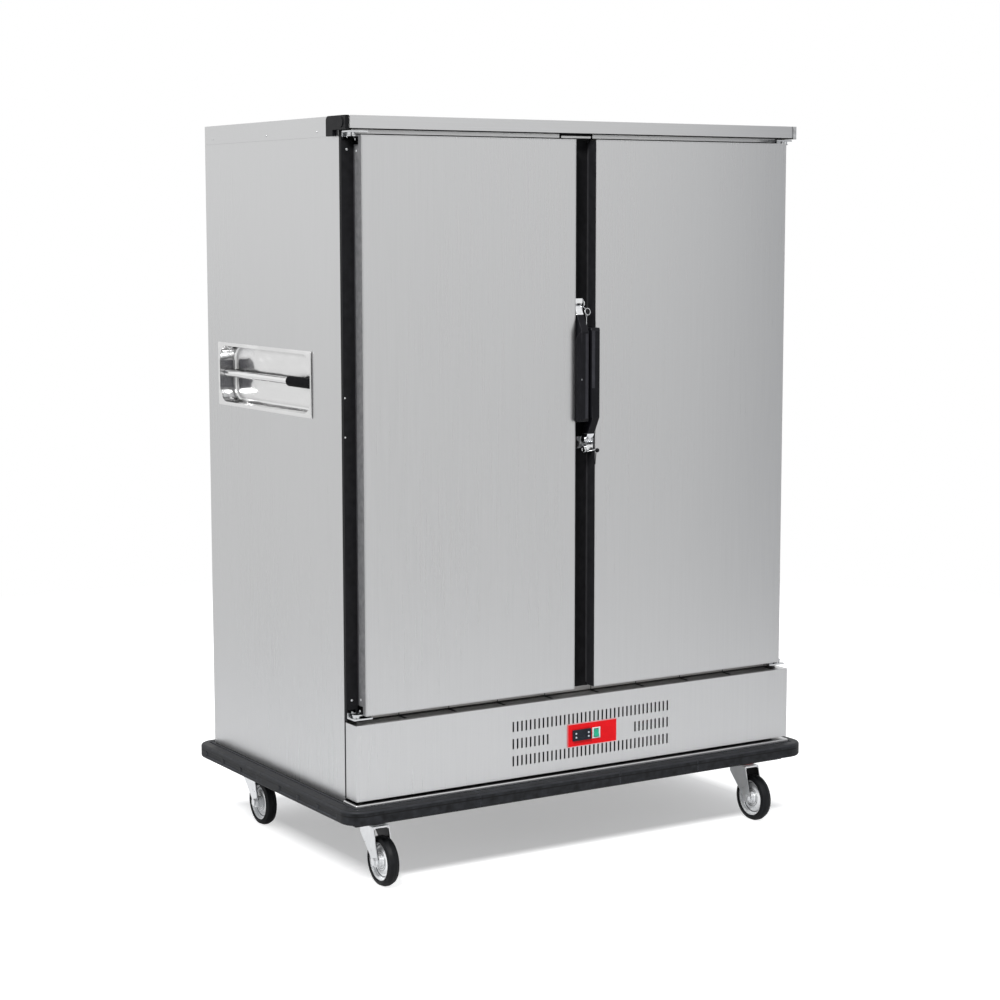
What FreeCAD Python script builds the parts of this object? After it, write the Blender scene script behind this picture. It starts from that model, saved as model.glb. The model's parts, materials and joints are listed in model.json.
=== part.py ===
import FreeCAD, Part
import math
import os
import re
import Sketcher

# Cold banquet cart: a two-door insulated steel cabinet on four swivel casters.
# Millimetres. Origin on the floor under the middle of the cart, +X to the right
# seen from the front, doors facing -Y, +Z up.

# Driving dimensions
SIZES = {
    # cabinet shell
    "overall_height": 1860,
    "cabinet_width": 1320,
    "rear_reach": 400,
    "side_reach": 349,
    "skin": 1,
    "wall": 54,
    "ceiling_wall": 63,
    "louvre_lift": 40,
    "louvre_count": 6,
    "louvre_pitch": 18,
    # lid
    "lid_sheet": 1.2,
    "lid_skirt": 47,
    "lid_fascia": 30,
    "lid_corner": 5,
    "lid_overhang": 42,
    # clearances
    "fit_gap": 0.3,
    "running_fit": 0.05,
    # base frame, tray and posts
    "caster_height": 160,
    "base_height": 57,
    "base_inset": 4,
    "base_rail": 60,
    "base_sheet": 3,
    "base_pad": 20,
    "tray_sheet": 2,
    "tray_rim": 7,
    "tray_lip": 5,
    "tray_round": 3,
    "post_size": 30,
    "post_inset": 12,
    "post_gap": 0.5,
    "ring_height": 10,
    # bumper
    "bumper_overhang": 40,
    "bumper_front_overhang": 38,
    "bumper_height": 36,
    "bumper_corner": 48,
    "bumper_round": 6,
    "bumper_joint_end": 335,
    "bumper_joint_mid": 86,
    "bumper_joint_side": 37,
    "bumper_joint_gap": 1,
    "bumper_channel_in": 27,
    "bumper_channel": 6,
    "bumper_channel_deep": 3,
    "bumper_pocket_end": 70,
    "bumper_pocket_long": 98,
    "bumper_pocket_pitch": 106,
    "bumper_pocket_count": 3,
    "bumper_pocket_high": 14,
    "bumper_pocket_lift": 9,
    "bumper_pocket_deep": 2,
    # front frame
    "frame_thick": 11,
    "jamb_width": 60,
    "mullion_width": 108,
    "sill_gap": 2,
    "sill_height": 44,
    "head_gap": 2,
    "head_height": 39,
    # doors
    "door_gap": 60,
    "door_inset": 27,
    "door_sill_gap": 18,
    "door_head_gap": 13,
    "door_pan": 33,
    "liner_step": 5,
    "liner_rim": 4,
    "liner_panel_inset": 40,
    "liner_panel_deep": 3,
    "gasket_width": 16,
    "gasket_deep": 10,
    "gasket_round": 2,
    # door hinges
    "pivot_inset": 15,
    "pivot_out": 23,
    "pin_radius": 5,
    "bush_radius": 9,
    "hinge_plate": 4,
    "hinge_gap": 6,
    "hinge_width": 50,
    "hinge_deep": 39,
    "flange_width": 22,
    "flange_sheet": 3,
    "flange_height": 16,
    "arm_sheet": 3,
    "arm_leaf": 22,
    "ear_radius": 11,
    # latches
    "latch_lift": 800,
    "latch_pivot": 165,
    "latch_out": 31,
    "latch_pin": 4,
    "latch_plate": 3,
    "latch_plate_high": 54,
    "latch_plate_deep": 24,
    "latch_corner": 6,
    "latch_head": 8,
    "hub_radius": 10,
    "hub_width": 20,
    "lever_width": 26,
    "lever_out": 40,
    "lever_thick": 26,
    "lever_top": 109,
    "lever_bottom": 117,
    "lever_round": 5,
    "lever_nose": 8,
    "lever_bevel": 6,
    "lever_heel": 4,
    "lever_neck": 20,
    "arm_lap": 30,
    "arm_root": 12,
    "tongue_width": 10,
    "tongue_thick": 8,
    "nose_out": 9,
    "nose_thick": 4,
    "nose_high": 5,
    "nose_slope": 2,
    "hood_sheet": 2.5,
    "hood_high": 12,
    "hood_lift": 13,
    "hood_wall": 2,
    "lock_radius": 2.5,
    "lock_ring": 8.5,
    "ring_lap": 2,
    "lock_wire": 1.2,
    "strike_radius": 3,
    "strike_out": 14,
    "keeper_width": 24,
    "keeper_sheet": 3,
    "keeper_high": 30,
    # control panel
    "panel_proud": 2,
    "panel_gap": 7,
    "panel_height": 187,
    "panel_depth": 56,
    "foot_depth": 12,
    "vent_middle": 23,
    "slot_wide": 4.7,
    "slot_high": 26,
    "slot_pitch": 12.87,
    "slot_count": 38,
    "slot_side_count": 9,
    "row_pitch": 44,
    "row_lift": 87.5,
    # control plate
    "plate_wide": 152,
    "plate_high": 60,
    "plate_sheet": 1.5,
    "plate_round": 5,
    "controller_side": 33.5,
    "controller_wide": 55,
    "controller_high": 28,
    "controller_proud": 5,
    "controller_deep": 34,
    "bezel_rim": 3,
    "display_wide": 24,
    "display_high": 14,
    "display_deep": 1,
    "key_size": 4,
    "key_gap": 0.3,
    "key_proud": 1,
    "key_deep": 3,
    "key_side": 19,
    "key_lift": 5,
    "switch_side": 11.5,
    "switch_wide": 24,
    "switch_high": 28,
    "switch_proud": 2,
    "switch_deep": 24,
    "rocker_wide": 14,
    "rocker_high": 21,
    "rocker_gap": 0.8,
    "rocker_axle": 1.5,
    "axle_seat": 1.5,
    "rocker_trim": 1,
    "rocker_sink": 0.4,
    "rocker_proud": 3,
    # side handles
    "recess_middle": 69,
    "recess_height": 1219,
    "recess_long": 536,
    "recess_high": 164,
    "recess_flange": 9,
    "recess_sheet": 2,
    "recess_deep": 46,
    "recess_corner": 42,
    "recess_draft": 8,
    "bar_radius": 9,
    "bar_deep": 20,
    "grip_radius": 13,
    "grip_long": 150,
    # corner guards
    "guard_long": 97,
    "guard_high": 33,
    "guard_leg": 33,
    "guard_thick": 10,
    "guard_round": 12,
    "guard_boss": 12,
    "guard_boss_proud": 2,
    # casters
    "caster_inset_x": 82,
    "caster_inset_y": 62,
    "caster_trail": 48,
    "wheel_diameter": 125,
    "tyre_width": 32,
    "tyre_thick": 15,
    "tyre_round": 12,
    "tyre_bead": 2,
    "rim_width": 24,
    "rim_sheet": 3,
    "web_thick": 5,
    "dish_thick": 14,
    "ring_radius": 33,
    "hub_outer": 15,
    "hub_long": 36,
    "axle_radius": 6,
    "axle_nut": 10,
    "nut_thick": 7,
    "fork_sheet": 4,
    "fork_side_gap": 1,
    "fork_top_wide": 56,
    "fork_front_wide": 10,
    "fork_shoulder": 18,
    "fork_end_radius": 14,
    "kingpin_radius": 6,
    "kingpin_head": 6,
    "race_radius": 27,
    "race_height": 10,
    "plate_long": 105,
    "plate_short": 85,
    "plate_corner": 8,
    "caster_sheet": 4,
    # cold compartment fittings
    "duct_width": 96,
    "duct_sheet": 1.2,
    "duct_slot_long": 200,
    "duct_slot_high": 8,
    "duct_slot_pitch": 40,
    "duct_slot_count": 6,
    "supply_drop": 317,
    "return_lift": 41,
    "upright_thick": 8,
    "upright_wide": 24,
    "upright_reach": 240,
    "runner_long": 640,
    "runner_wide": 26,
    "runner_sheet": 2,
    "runner_leg": 10,
    "runner_lift": 71,
    "runner_pitch": 150,
    "runner_count": 8,
    # cooling plant
    "evaporator_thick": 64,
    "evaporator_long": 320,
    "evaporator_high": 220,
    "evaporator_lift": 46,
    "condenser_long": 400,
    "condenser_thick": 56,
    "condenser_high": 160,
    "condenser_back": 75,
    "coil_slot": 9,
    "coil_pitch": 20,
    "coil_core": 10,
    "coil_end": 15,
    "evaporator_fins": 15,
    "fan_radius": 62,
    "fan_depth": 24,
    "fan_hub": 20,
    "fan_blades": 5,
    "fan_shaft": 4,
    "shroud_depth": 30,
    "shroud_gap": 4,
    "shroud_wall": 14,
    "motor_gap": 6,
    "strut_wide": 12,
    "strut_thick": 12,
    "strut_back": 26,
    "strap_sheet": 6,
    "motor_radius": 26,
    "motor_long": 50,
    "evap_fan_lift": 135,
    "evap_fan_radius": 40,
    "evap_fan_hub": 14,
    "evap_fan_depth": 18,
    "evap_mount_deep": 26,
    "evap_motor_radius": 20,
    "evap_motor_long": 36,
    "blade_thick": 3,
    "compressor_x": 330,
    "compressor_y": 60,
    "compressor_radius": 75,
    "compressor_high": 150,
    "compressor_foot": 16,
    "can_base": 18,
    "seam_lift": 70,
    "seam_width": 6,
    "can_shoulder": 110,
    "dome_drop": 12,
    "foot_margin": 8,
    "grommet_inset": 12,
    "grommet_radius": 9,
    "cover_out": 20,
    "cover_wide": 44,
    "cover_low": 24,
    "cover_high": 64,
    "foot_plate": 4,
    "pipe_radius": 5,
    "pipe_bend": 25,
    "port_height": 60,
    "port_side": 25,
    "port_reach": 12,
    "port_wall": 1.5,
    "suction_run": 120,
    "suction_height": 55,
    "liquid_run": 60,
    "liquid_height": 110,
    "pipe_hole": 22,
    "pipe_hole_y": 230,
}

# Sizes that follow from others. A reach is a distance from the middle plane to a face.
DERIVED = {
    "floor_height": "caster_height + base_height + tray_sheet",
    "panel_foot": "floor_height + panel_gap",
    "frame_reach": "side_reach + frame_thick",
    "door_reach": "frame_reach + gasket_deep + liner_step + door_pan",
    "panel_reach": "door_reach + panel_proud",
    "lid_reach": "frame_reach + lid_overhang",
    "sill_bottom": "panel_foot + panel_height + sill_gap",
    "head_top": "overall_height - lid_fascia - head_gap",
    "liner_floor": "sill_bottom + sill_height",
    "liner_ceiling": "overall_height - ceiling_wall",
    "door_bottom": "sill_bottom + door_sill_gap",
    "door_top": "head_top - door_head_gap",
    "pivot_reach": "frame_reach + pivot_out",
    "hinge_reach": "frame_reach + hinge_deep",
    "latch_middle": "door_bottom + latch_lift",
    "latch_reach": "frame_reach + latch_out",
    "lever_front": "latch_reach + lever_out",
    "lever_back": "lever_front - lever_thick",
    "nose_reach": "frame_reach + nose_out",
    "strike_reach": "frame_reach + strike_out",
    "row_middle": "panel_foot + row_lift",
    "caster_x": "cabinet_width / 2 - base_inset - caster_inset_x",
    "caster_y": "rear_reach - base_inset - caster_inset_y",
    "crown_top": "caster_height - caster_sheet - race_height",
    "supply_height": "liner_ceiling - supply_drop",
    "return_height": "liner_floor + return_lift",
    "runner_first": "liner_floor + runner_lift",
    "evaporator_base": "liner_floor + evaporator_lift",
    "evap_fan_height": "evaporator_base + evaporator_high + evap_fan_lift",
    "condenser_reach": "panel_reach - condenser_back",
}

doc = FreeCAD.newDocument("cold_banquet_cart")
sheet = doc.addObject("Spreadsheet::Sheet", "sizes")
cells = {alias: str(number) for alias, number in SIZES.items()}
cells.update({alias: f"={formula}" for alias, formula in DERIVED.items()})
for row, (alias, content) in enumerate(cells.items(), start=1):
    sheet.set(f"A{row}", content)
    sheet.setAlias(f"A{row}", alias)
doc.recompute()

ALIAS = re.compile(r"\b(" + "|".join(sorted(cells, key=len, reverse=True)) + r")\b")
PLANE_AXES = {"XY": ("x", "y"), "XZ": ("x", "z"), "YZ": ("y", "z")}
nodes = {}


def bound(text):
    """A formula on the sheet's names, as an expression of the document."""
    return ALIAS.sub(r"sizes.\1", str(text))


def value(text):
    """The number that a formula gives now."""
    return float(sheet.evalExpression(bound(text)))


def rect(x_low, x_high, y_low, y_high):
    """A rectangle in a sketch, from its four sides."""
    return [(x_low, y_low), (x_high, y_low), (x_high, y_high), (x_low, y_high)]


def disc(x, y, radius):
    """A circle in a sketch."""
    return {"x": x, "y": y, "radius": radius}


def rounded(x_low, x_high, y_low, y_high, radius):
    """A rectangle with round corners in a sketch."""
    return {"sides": (x_low, x_high, y_low, y_high), "radius": radius}


def tie(sketch, kind, geometry, point, text):
    """Bind one coordinate of a sketch point to a formula."""
    index = sketch.addConstraint(Sketcher.Constraint(kind, -1, 1, geometry, point, value(text)))
    sketch.setExpression(f"Constraints[{index}]", bound(text))


def draw_rounded(sketch, sides, radius):
    """Four sides and four corner arcs, every end bound to the sheet."""
    first = sketch.GeometryCount
    x_low, x_high, y_low, y_high = sides
    lines = [
        ((f"{x_low} + ({radius})", y_low), (f"{x_high} - ({radius})", y_low)),
        ((x_high, f"{y_low} + ({radius})"), (x_high, f"{y_high} - ({radius})")),
        ((f"{x_high} - ({radius})", y_high), (f"{x_low} + ({radius})", y_high)),
        ((x_low, f"{y_high} - ({radius})"), (x_low, f"{y_low} + ({radius})")),
    ]
    centres = [(lines[0][1][0], lines[1][0][1]), (lines[0][1][0], lines[1][1][1]),
               (lines[0][0][0], lines[1][1][1]), (lines[0][0][0], lines[1][0][1])]
    for start, end in lines:
        ends = [FreeCAD.Vector(value(x), value(y), 0) for x, y in (start, end)]
        sketch.addGeometry(Part.LineSegment(*ends), False)
    for i, (x, y) in enumerate(centres):
        circle = Part.Circle(FreeCAD.Vector(value(x), value(y), 0), FreeCAD.Vector(0, 0, 1), value(radius))
        sketch.addGeometry(Part.ArcOfCircle(circle, (i - 1) * math.pi / 2, i * math.pi / 2), False)
    for i, (start, end) in enumerate(lines):
        for point, (x, y) in ((1, start), (2, end)):
            tie(sketch, "DistanceX", first + i, point, x)
            tie(sketch, "DistanceY", first + i, point, y)
        arc = first + 4 + i
        sketch.addConstraint(Sketcher.Constraint("Coincident", first + i, 2, arc, 1))
        sketch.addConstraint(Sketcher.Constraint("Coincident", arc, 2, first + (i + 1) % 4, 1))
        index = sketch.addConstraint(Sketcher.Constraint("Radius", arc, value(radius)))
        sketch.setExpression(f"Constraints[{index}]", bound(radius))


def draw(sketch, outline):
    """Draw a closed polygon, a rounded rectangle or a circle, bound to the sheet."""
    first = sketch.GeometryCount
    if isinstance(outline, dict) and "sides" in outline:
        draw_rounded(sketch, outline["sides"], outline["radius"])
        return
    if isinstance(outline, dict):
        centre = FreeCAD.Vector(value(outline["x"]), value(outline["y"]), 0)
        normal = FreeCAD.Vector(0, 0, 1)
        sketch.addGeometry(Part.Circle(centre, normal, value(outline["radius"])), False)
        radius = sketch.addConstraint(Sketcher.Constraint("Radius", first, value(outline["radius"])))
        sketch.setExpression(f"Constraints[{radius}]", bound(outline["radius"]))
        tie(sketch, "DistanceX", first, 3, outline["x"])
        tie(sketch, "DistanceY", first, 3, outline["y"])
        return
    corners = [FreeCAD.Vector(value(x), value(y), 0) for x, y in outline]
    count = len(corners)
    for i in range(count):
        sketch.addGeometry(Part.LineSegment(corners[i], corners[(i + 1) % count]), False)
    for i in range(count):
        sketch.addConstraint(Sketcher.Constraint("Coincident", first + i, 2, first + (i + 1) % count, 1))
    for i, (x, y) in enumerate(outline):
        tie(sketch, "DistanceX", first + i, 1, x)
        tie(sketch, "DistanceY", first + i, 1, y)


class Piece:
    """One solid built from sketches on its own origin planes."""

    def __init__(self, label):
        self.body = doc.addObject("PartDesign::Body", label)
        self.body.Label = label

    def sketch(self, plane, level, outlines):
        sketch = self.body.newObject("Sketcher::SketchObject", "outline")
        origin = [item for item in self.body.Origin.OriginFeatures if item.Role == plane + "_Plane"][0]
        sketch.AttachmentSupport = [(origin, "")]
        sketch.MapMode = "FlatFace"
        sketch.setExpression("AttachmentOffset.Base.z", bound(level))
        for outline in outlines:
            draw(sketch, outline)
        return sketch

    def extrude(self, kind, plane, low, high, outlines):
        # The XZ plane looks along -Y, so its sketch stands at the far level.
        level = f"-({high})" if plane == "XZ" else low
        feature = self.body.newObject("PartDesign::" + kind, kind.lower())
        feature.Profile = self.sketch(plane, level, outlines)
        feature.setExpression("Length", bound(f"({high}) - ({low})"))
        return feature

    def add(self, plane, low, high, *outlines):
        """Pad outlines between two levels along the plane's normal."""
        feature = self.extrude("Pad", plane, low, high, outlines)
        doc.recompute()
        return feature

    def cut(self, plane, low, high, *outlines):
        """Pocket outlines between two levels, and make sure that something went."""
        before = self.body.Shape.Volume
        feature = self.extrude("Pocket", plane, low, high, outlines)
        feature.Reversed = True
        doc.recompute()
        if self.body.Shape.Volume > before - 1e-3:
            raise RuntimeError(f"{self.body.Label}: a pocket cut nothing")
        return feature

    def spin(self, plane, axis, *outlines):
        """Revolve outlines about an axis of their sketch."""
        feature = self.body.newObject("PartDesign::Revolution", "spin")
        sketch = self.sketch(plane, "0", outlines)
        feature.Profile = sketch
        feature.ReferenceAxis = (sketch, [axis])
        doc.recompute()
        return feature

    def row(self, feature, axis, count, pitch):
        """Repeat a feature in a straight row along an axis of its sketch."""
        pattern = self.body.newObject("PartDesign::LinearPattern", "row")
        pattern.Originals = [feature]
        pattern.Direction = (feature.Profile[0], [axis])
        pattern.setExpression("Length", bound(f"({pitch}) * ({count} - 1)"))
        pattern.setExpression("Occurrences", bound(count))
        self.body.Tip = pattern
        doc.recompute()
        return pattern

    def round(self, radius, wanted):
        """Fillet the edges that a test picks out."""
        base = self.body.Tip
        edges = base.Shape.Edges
        names = [f"Edge{i}" for i, edge in enumerate(edges, start=1) if wanted(edge)]
        feature = self.body.newObject("PartDesign::Fillet", "rounding")
        feature.Base = (base, names)
        feature.setExpression("Radius", bound(radius))
        doc.recompute()
        if not names or "Invalid" in feature.State:
            raise RuntimeError(f"{self.body.Label}: a rounding failed on {len(names)} edges")
        return feature

    def place(self, x="0", y="0", z="0"):
        """Move the whole piece."""
        for axis, text in zip("xyz", (x, y, z)):
            self.body.setExpression(f"Placement.Base.{axis}", bound(text))
        doc.recompute()
        return self


def upright(edge):
    """True for a straight edge along Z."""
    return along(edge, 2)


def along(edge, axis):
    """True for a straight edge along one axis."""
    if not isinstance(edge.Curve, Part.Line):
        return False
    return abs(abs(edge.tangentAt(edge.FirstParameter)[axis]) - 1) < 1e-6


def near(edge, axis, *levels):
    """True where the middle of an edge lies at one of the levels of an axis."""
    middle = edge.CenterOfMass[axis]
    return any(abs(middle - value(level)) < 0.01 for level in levels)


def node(label, piece):
    """Name a finished piece as a node of the assembly."""
    item = piece.body if isinstance(piece, Piece) else piece
    item.Label = label
    nodes[label] = item
    return item


def mirror(source, normal=(1, 0, 0)):
    """The mirror image of a piece in a plane through the origin."""
    image = doc.addObject("Part::Mirroring", "mirror_image")
    image.Source = source.body if isinstance(source, Piece) else source
    image.Normal = FreeCAD.Vector(*normal)
    doc.recompute()
    return image


def group(items):
    """Several separate solids as one object."""
    compound = doc.addObject("Part::Compound", "group")
    compound.Links = [item.body if isinstance(item, Piece) else item for item in items]
    doc.recompute()
    return compound


def half_turn(piece):
    """Turn a piece half round about the Y line through the middle of the latches."""
    piece.body.Placement.Rotation = FreeCAD.Rotation(FreeCAD.Vector(0, 1, 0), 180)
    piece.body.setExpression("Placement.Base.z", bound("2 * latch_middle"))
    doc.recompute()
    return piece


# Places that several pieces share, as formulas on the sheet
SIDE = "(cabinet_width / 2)"
INNER = f"({SIDE} - wall)"
LID_UNDER = "(overall_height - lid_sheet)"
BASE_TOP = "(caster_height + base_height)"
FLOOR = "floor_height"
RIM_BOTTOM = "(floor_height - tray_rim)"
SHEET_FOOT = f"({RIM_BOTTOM} + skin)"
BASE_X = f"({SIDE} - base_inset)"
BASE_Y = "(rear_reach - base_inset)"
PANEL_BOTTOM = "panel_foot"
PANEL_TOP = "(panel_foot + panel_height)"
FOAM_BOTTOM = "(sill_bottom - skin)"
LINER_BACK = "(rear_reach - wall)"
DOOR_OUT = f"({SIDE} - door_inset)"
DOOR_IN = "(door_gap / 2)"
DOOR_TOP = "door_top"
PAN_BACK = "(door_reach - door_pan)"
STEP_BACK = f"({PAN_BACK} - liner_step)"
PIVOT_X = f"({SIDE} - pivot_inset)"
BUMPER_X = f"({SIDE} + bumper_overhang)"
BUMPER_FRONT = "(panel_reach + bumper_front_overhang)"
BUMPER_REAR = "(rear_reach + bumper_overhang)"
BUMPER_BOTTOM = f"({RIM_BOTTOM} - bumper_height)"


# Base

def channel(x_low, x_high, y_low, y_high, open_x, open_y):
    """One channel bar of the base, open below between its solid ends."""
    bar = Piece("base_channel")
    bar.add("XY", "caster_height", BASE_TOP, rect(x_low, x_high, y_low, y_high))
    bar.cut("XY", "caster_height", f"{BASE_TOP} - base_sheet", rect(*open_x, *open_y))
    return bar


def base_frame():
    """Welded frame: channels on the casters, four posts and a ring under the insulated box."""
    rail = f"({BASE_X} - base_rail)"
    end = f"({BASE_Y} - base_rail)"
    half = "(base_rail / 2)"
    pad_x = "(caster_x - plate_long / 2 - base_pad)"
    pad_y = "(caster_y - plate_short / 2 - base_pad)"
    side = channel(f"-{BASE_X}", f"-{rail}", f"-{BASE_Y}", BASE_Y,
                   (f"-{BASE_X} + base_sheet", f"-{rail} - base_sheet"), (f"-{pad_y}", pad_y))
    front = channel(f"-{rail}", rail, f"-{BASE_Y}", f"-{end}",
                    (f"-{pad_x}", pad_x), (f"-{BASE_Y} + base_sheet", f"-{end} - base_sheet"))
    middle = channel(f"-{half}", half, f"-{end}", end,
                     (f"-{half} + base_sheet", f"{half} - base_sheet"),
                     (f"-{end} + base_pad", f"{end} - base_pad"))
    # Posts stand inside the skins and meet a ring under the insulated box.
    post_out = f"({SIDE} - post_inset)"
    post_in = f"({post_out} - post_size)"
    front_out = "(side_reach - post_inset)"
    front_in = f"({front_out} - post_size)"
    rear_out = "(rear_reach - post_inset)"
    rear_in = f"({rear_out} - post_size)"
    ring_bottom = f"({FOAM_BOTTOM} - ring_height)"
    lengths = [(f"-{front_out}", f"-{front_in}"), (rear_in, rear_out)]
    posts = [Piece("post") for length in lengths]
    cross_bars = [Piece("ring_bar") for length in lengths]
    for post, bar, length in zip(posts, cross_bars, lengths):
        post.add("XY", BASE_TOP, ring_bottom, rect(f"-{post_out}", f"-{post_in}", *length))
        bar.add("XY", ring_bottom, FOAM_BOTTOM, rect(f"-{post_in}", post_in, *length))
    side_bar = Piece("ring_bar")
    side_bar.add("XY", ring_bottom, FOAM_BOTTOM,
                 rect(f"-{post_out}", f"-{post_in}", f"-{front_out}", rear_out))
    pairs = [side, *posts, side_bar]
    singles = [*cross_bars, front, mirror(front, (0, 1, 0)), middle]
    return group(pairs + [mirror(piece) for piece in pairs] + singles)


def base_tray():
    """Bright floor tray of the machine space; its rounded rim shows below the control panel."""
    tray = Piece("base_tray")
    out_x = f"({SIDE} + tray_lip)"
    front = "(panel_reach + tray_lip)"
    side = f"({SIDE} - skin - fit_gap)"
    step = "(side_reach + fit_gap)"
    rear = "(rear_reach - skin - fit_gap)"
    tray.add("XY", RIM_BOTTOM, FLOOR, [
        (f"-{out_x}", f"-{front}"), (out_x, f"-{front}"), (out_x, f"-{step}"), (side, f"-{step}"),
        (side, rear), (f"-{side}", rear), (f"-{side}", f"-{step}"), (f"-{out_x}", f"-{step}")])
    tray.round("tray_lip", lambda edge: upright(edge) and near(edge, 1, f"-{front}"))
    shows = -value(f"{step} + skin")
    tray.round("tray_round", lambda edge: near(edge, 2, FLOOR) and edge.CenterOfMass.y < shows)
    base_x = f"({BASE_X} + fit_gap)"
    base_y = f"({BASE_Y} + fit_gap)"
    tray.cut("XY", RIM_BOTTOM, BASE_TOP, rect(f"-{base_x}", base_x, f"-{base_y}", base_y))
    post_out = f"({SIDE} - post_inset + post_gap)"
    post_in = f"({SIDE} - post_inset - post_size - post_gap)"
    for x_low, x_high in ((f"-{post_out}", f"-{post_in}"), (post_in, post_out)):
        front_out = "(side_reach - post_inset + post_gap)"
        front_in = "(side_reach - post_inset - post_size - post_gap)"
        rear_out = "(rear_reach - post_inset + post_gap)"
        rear_in = "(rear_reach - post_inset - post_size - post_gap)"
        tray.cut("XY", BASE_TOP, FLOOR, rect(x_low, x_high, f"-{front_out}", f"-{front_in}"),
                 rect(x_low, x_high, rear_in, rear_out))
    return tray


def bumper_corner(end, joint):
    """Corner length of the bumper, on the left; end is -1 at the front and 1 at the rear."""
    corner = Piece("bumper_corner")
    far_y, base_y = (f"-{BUMPER_FRONT}", f"-{BASE_Y}") if end < 0 else (BUMPER_REAR, BASE_Y)
    corner.add("XY", BUMPER_BOTTOM, RIM_BOTTOM, [
        (f"-{BUMPER_X}", joint), (f"-{BUMPER_X}", far_y), ("-bumper_joint_end", far_y),
        ("-bumper_joint_end", base_y), (f"-{BASE_X}", base_y), (f"-{BASE_X}", joint)])
    corner.round("bumper_corner", lambda edge: upright(edge) and near(edge, 0, f"-{BUMPER_X}")
                 and near(edge, 1, far_y))
    corner.round("bumper_round", bumper_rim)
    # A channel is moulded along the top, and shallow pockets along the side face.
    x_out = f"(-{BUMPER_X} + bumper_channel_in)"
    x_in = f"({x_out} + bumper_channel)"
    y_out = f"({far_y} - ({end}) * bumper_channel_in)"
    y_in = f"({y_out} - ({end}) * bumper_channel)"
    corner.cut("XY", f"{RIM_BOTTOM} - bumper_channel_deep", RIM_BOTTOM, [
        (x_out, joint), (x_out, y_out), ("-bumper_joint_end", y_out),
        ("-bumper_joint_end", y_in), (x_in, y_in), (x_in, joint)])
    row_long = "(bumper_pocket_pitch * (bumper_pocket_count - 1) + bumper_pocket_long)"
    first = f"({far_y} + bumper_pocket_end)" if end < 0 else f"({far_y} - bumper_pocket_end - {row_long})"
    bottom = f"({BUMPER_BOTTOM} + bumper_pocket_lift)"
    outline = rect(first, f"{first} + bumper_pocket_long", bottom, f"{bottom} + bumper_pocket_high")
    pocket = corner.cut("YZ", f"-{BUMPER_X}", f"-{BUMPER_X} + bumper_pocket_deep", outline)
    corner.row(pocket, "H_Axis", "bumper_pocket_count", "bumper_pocket_pitch")
    return corner


def bumper_rim(edge):
    """True for the long outer edges of a bumper length."""
    if not near(edge, 2, BUMPER_BOTTOM, RIM_BOTTOM):
        return False
    curved = not isinstance(edge.Curve, Part.Line)
    on_side = along(edge, 1) and near(edge, 0, f"-{BUMPER_X}")
    on_end = along(edge, 0) and near(edge, 1, f"-{BUMPER_FRONT}", BUMPER_REAR)
    return curved or on_side or on_end


def bumper_rail(end, x_low, x_high):
    """Straight length of the bumper; end is -1 at the front and 1 at the rear."""
    rail = Piece("bumper_rail")
    low, high = (f"-{BUMPER_FRONT}", f"-{BASE_Y}") if end < 0 else (BASE_Y, BUMPER_REAR)
    rail.add("XY", BUMPER_BOTTOM, RIM_BOTTOM, rect(x_low, x_high, low, high))
    rail.round("bumper_round", bumper_rim)
    groove = f"({low} + bumper_channel_in)" if end < 0 else f"({high} - bumper_channel_in - bumper_channel)"
    rail.cut("XY", f"{RIM_BOTTOM} - bumper_channel_deep", RIM_BOTTOM,
             rect(x_low, x_high, groove, f"{groove} + bumper_channel"))
    return rail


def bumpers():
    """Four corner lengths and the straight lengths between them, front and rear."""
    gap = "bumper_joint_gap"
    lengths = []
    for end in (-1, 1):
        corner = bumper_corner(end, f"bumper_joint_side + ({end}) * {gap} / 2")
        long_rail = bumper_rail(end, f"-bumper_joint_end + {gap}", f"bumper_joint_mid - {gap} / 2")
        short_rail = bumper_rail(end, f"bumper_joint_mid + {gap} / 2", f"bumper_joint_end - {gap}")
        lengths += [corner, mirror(corner), long_rail, short_rail]
    return group(lengths)


# Casters

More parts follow.
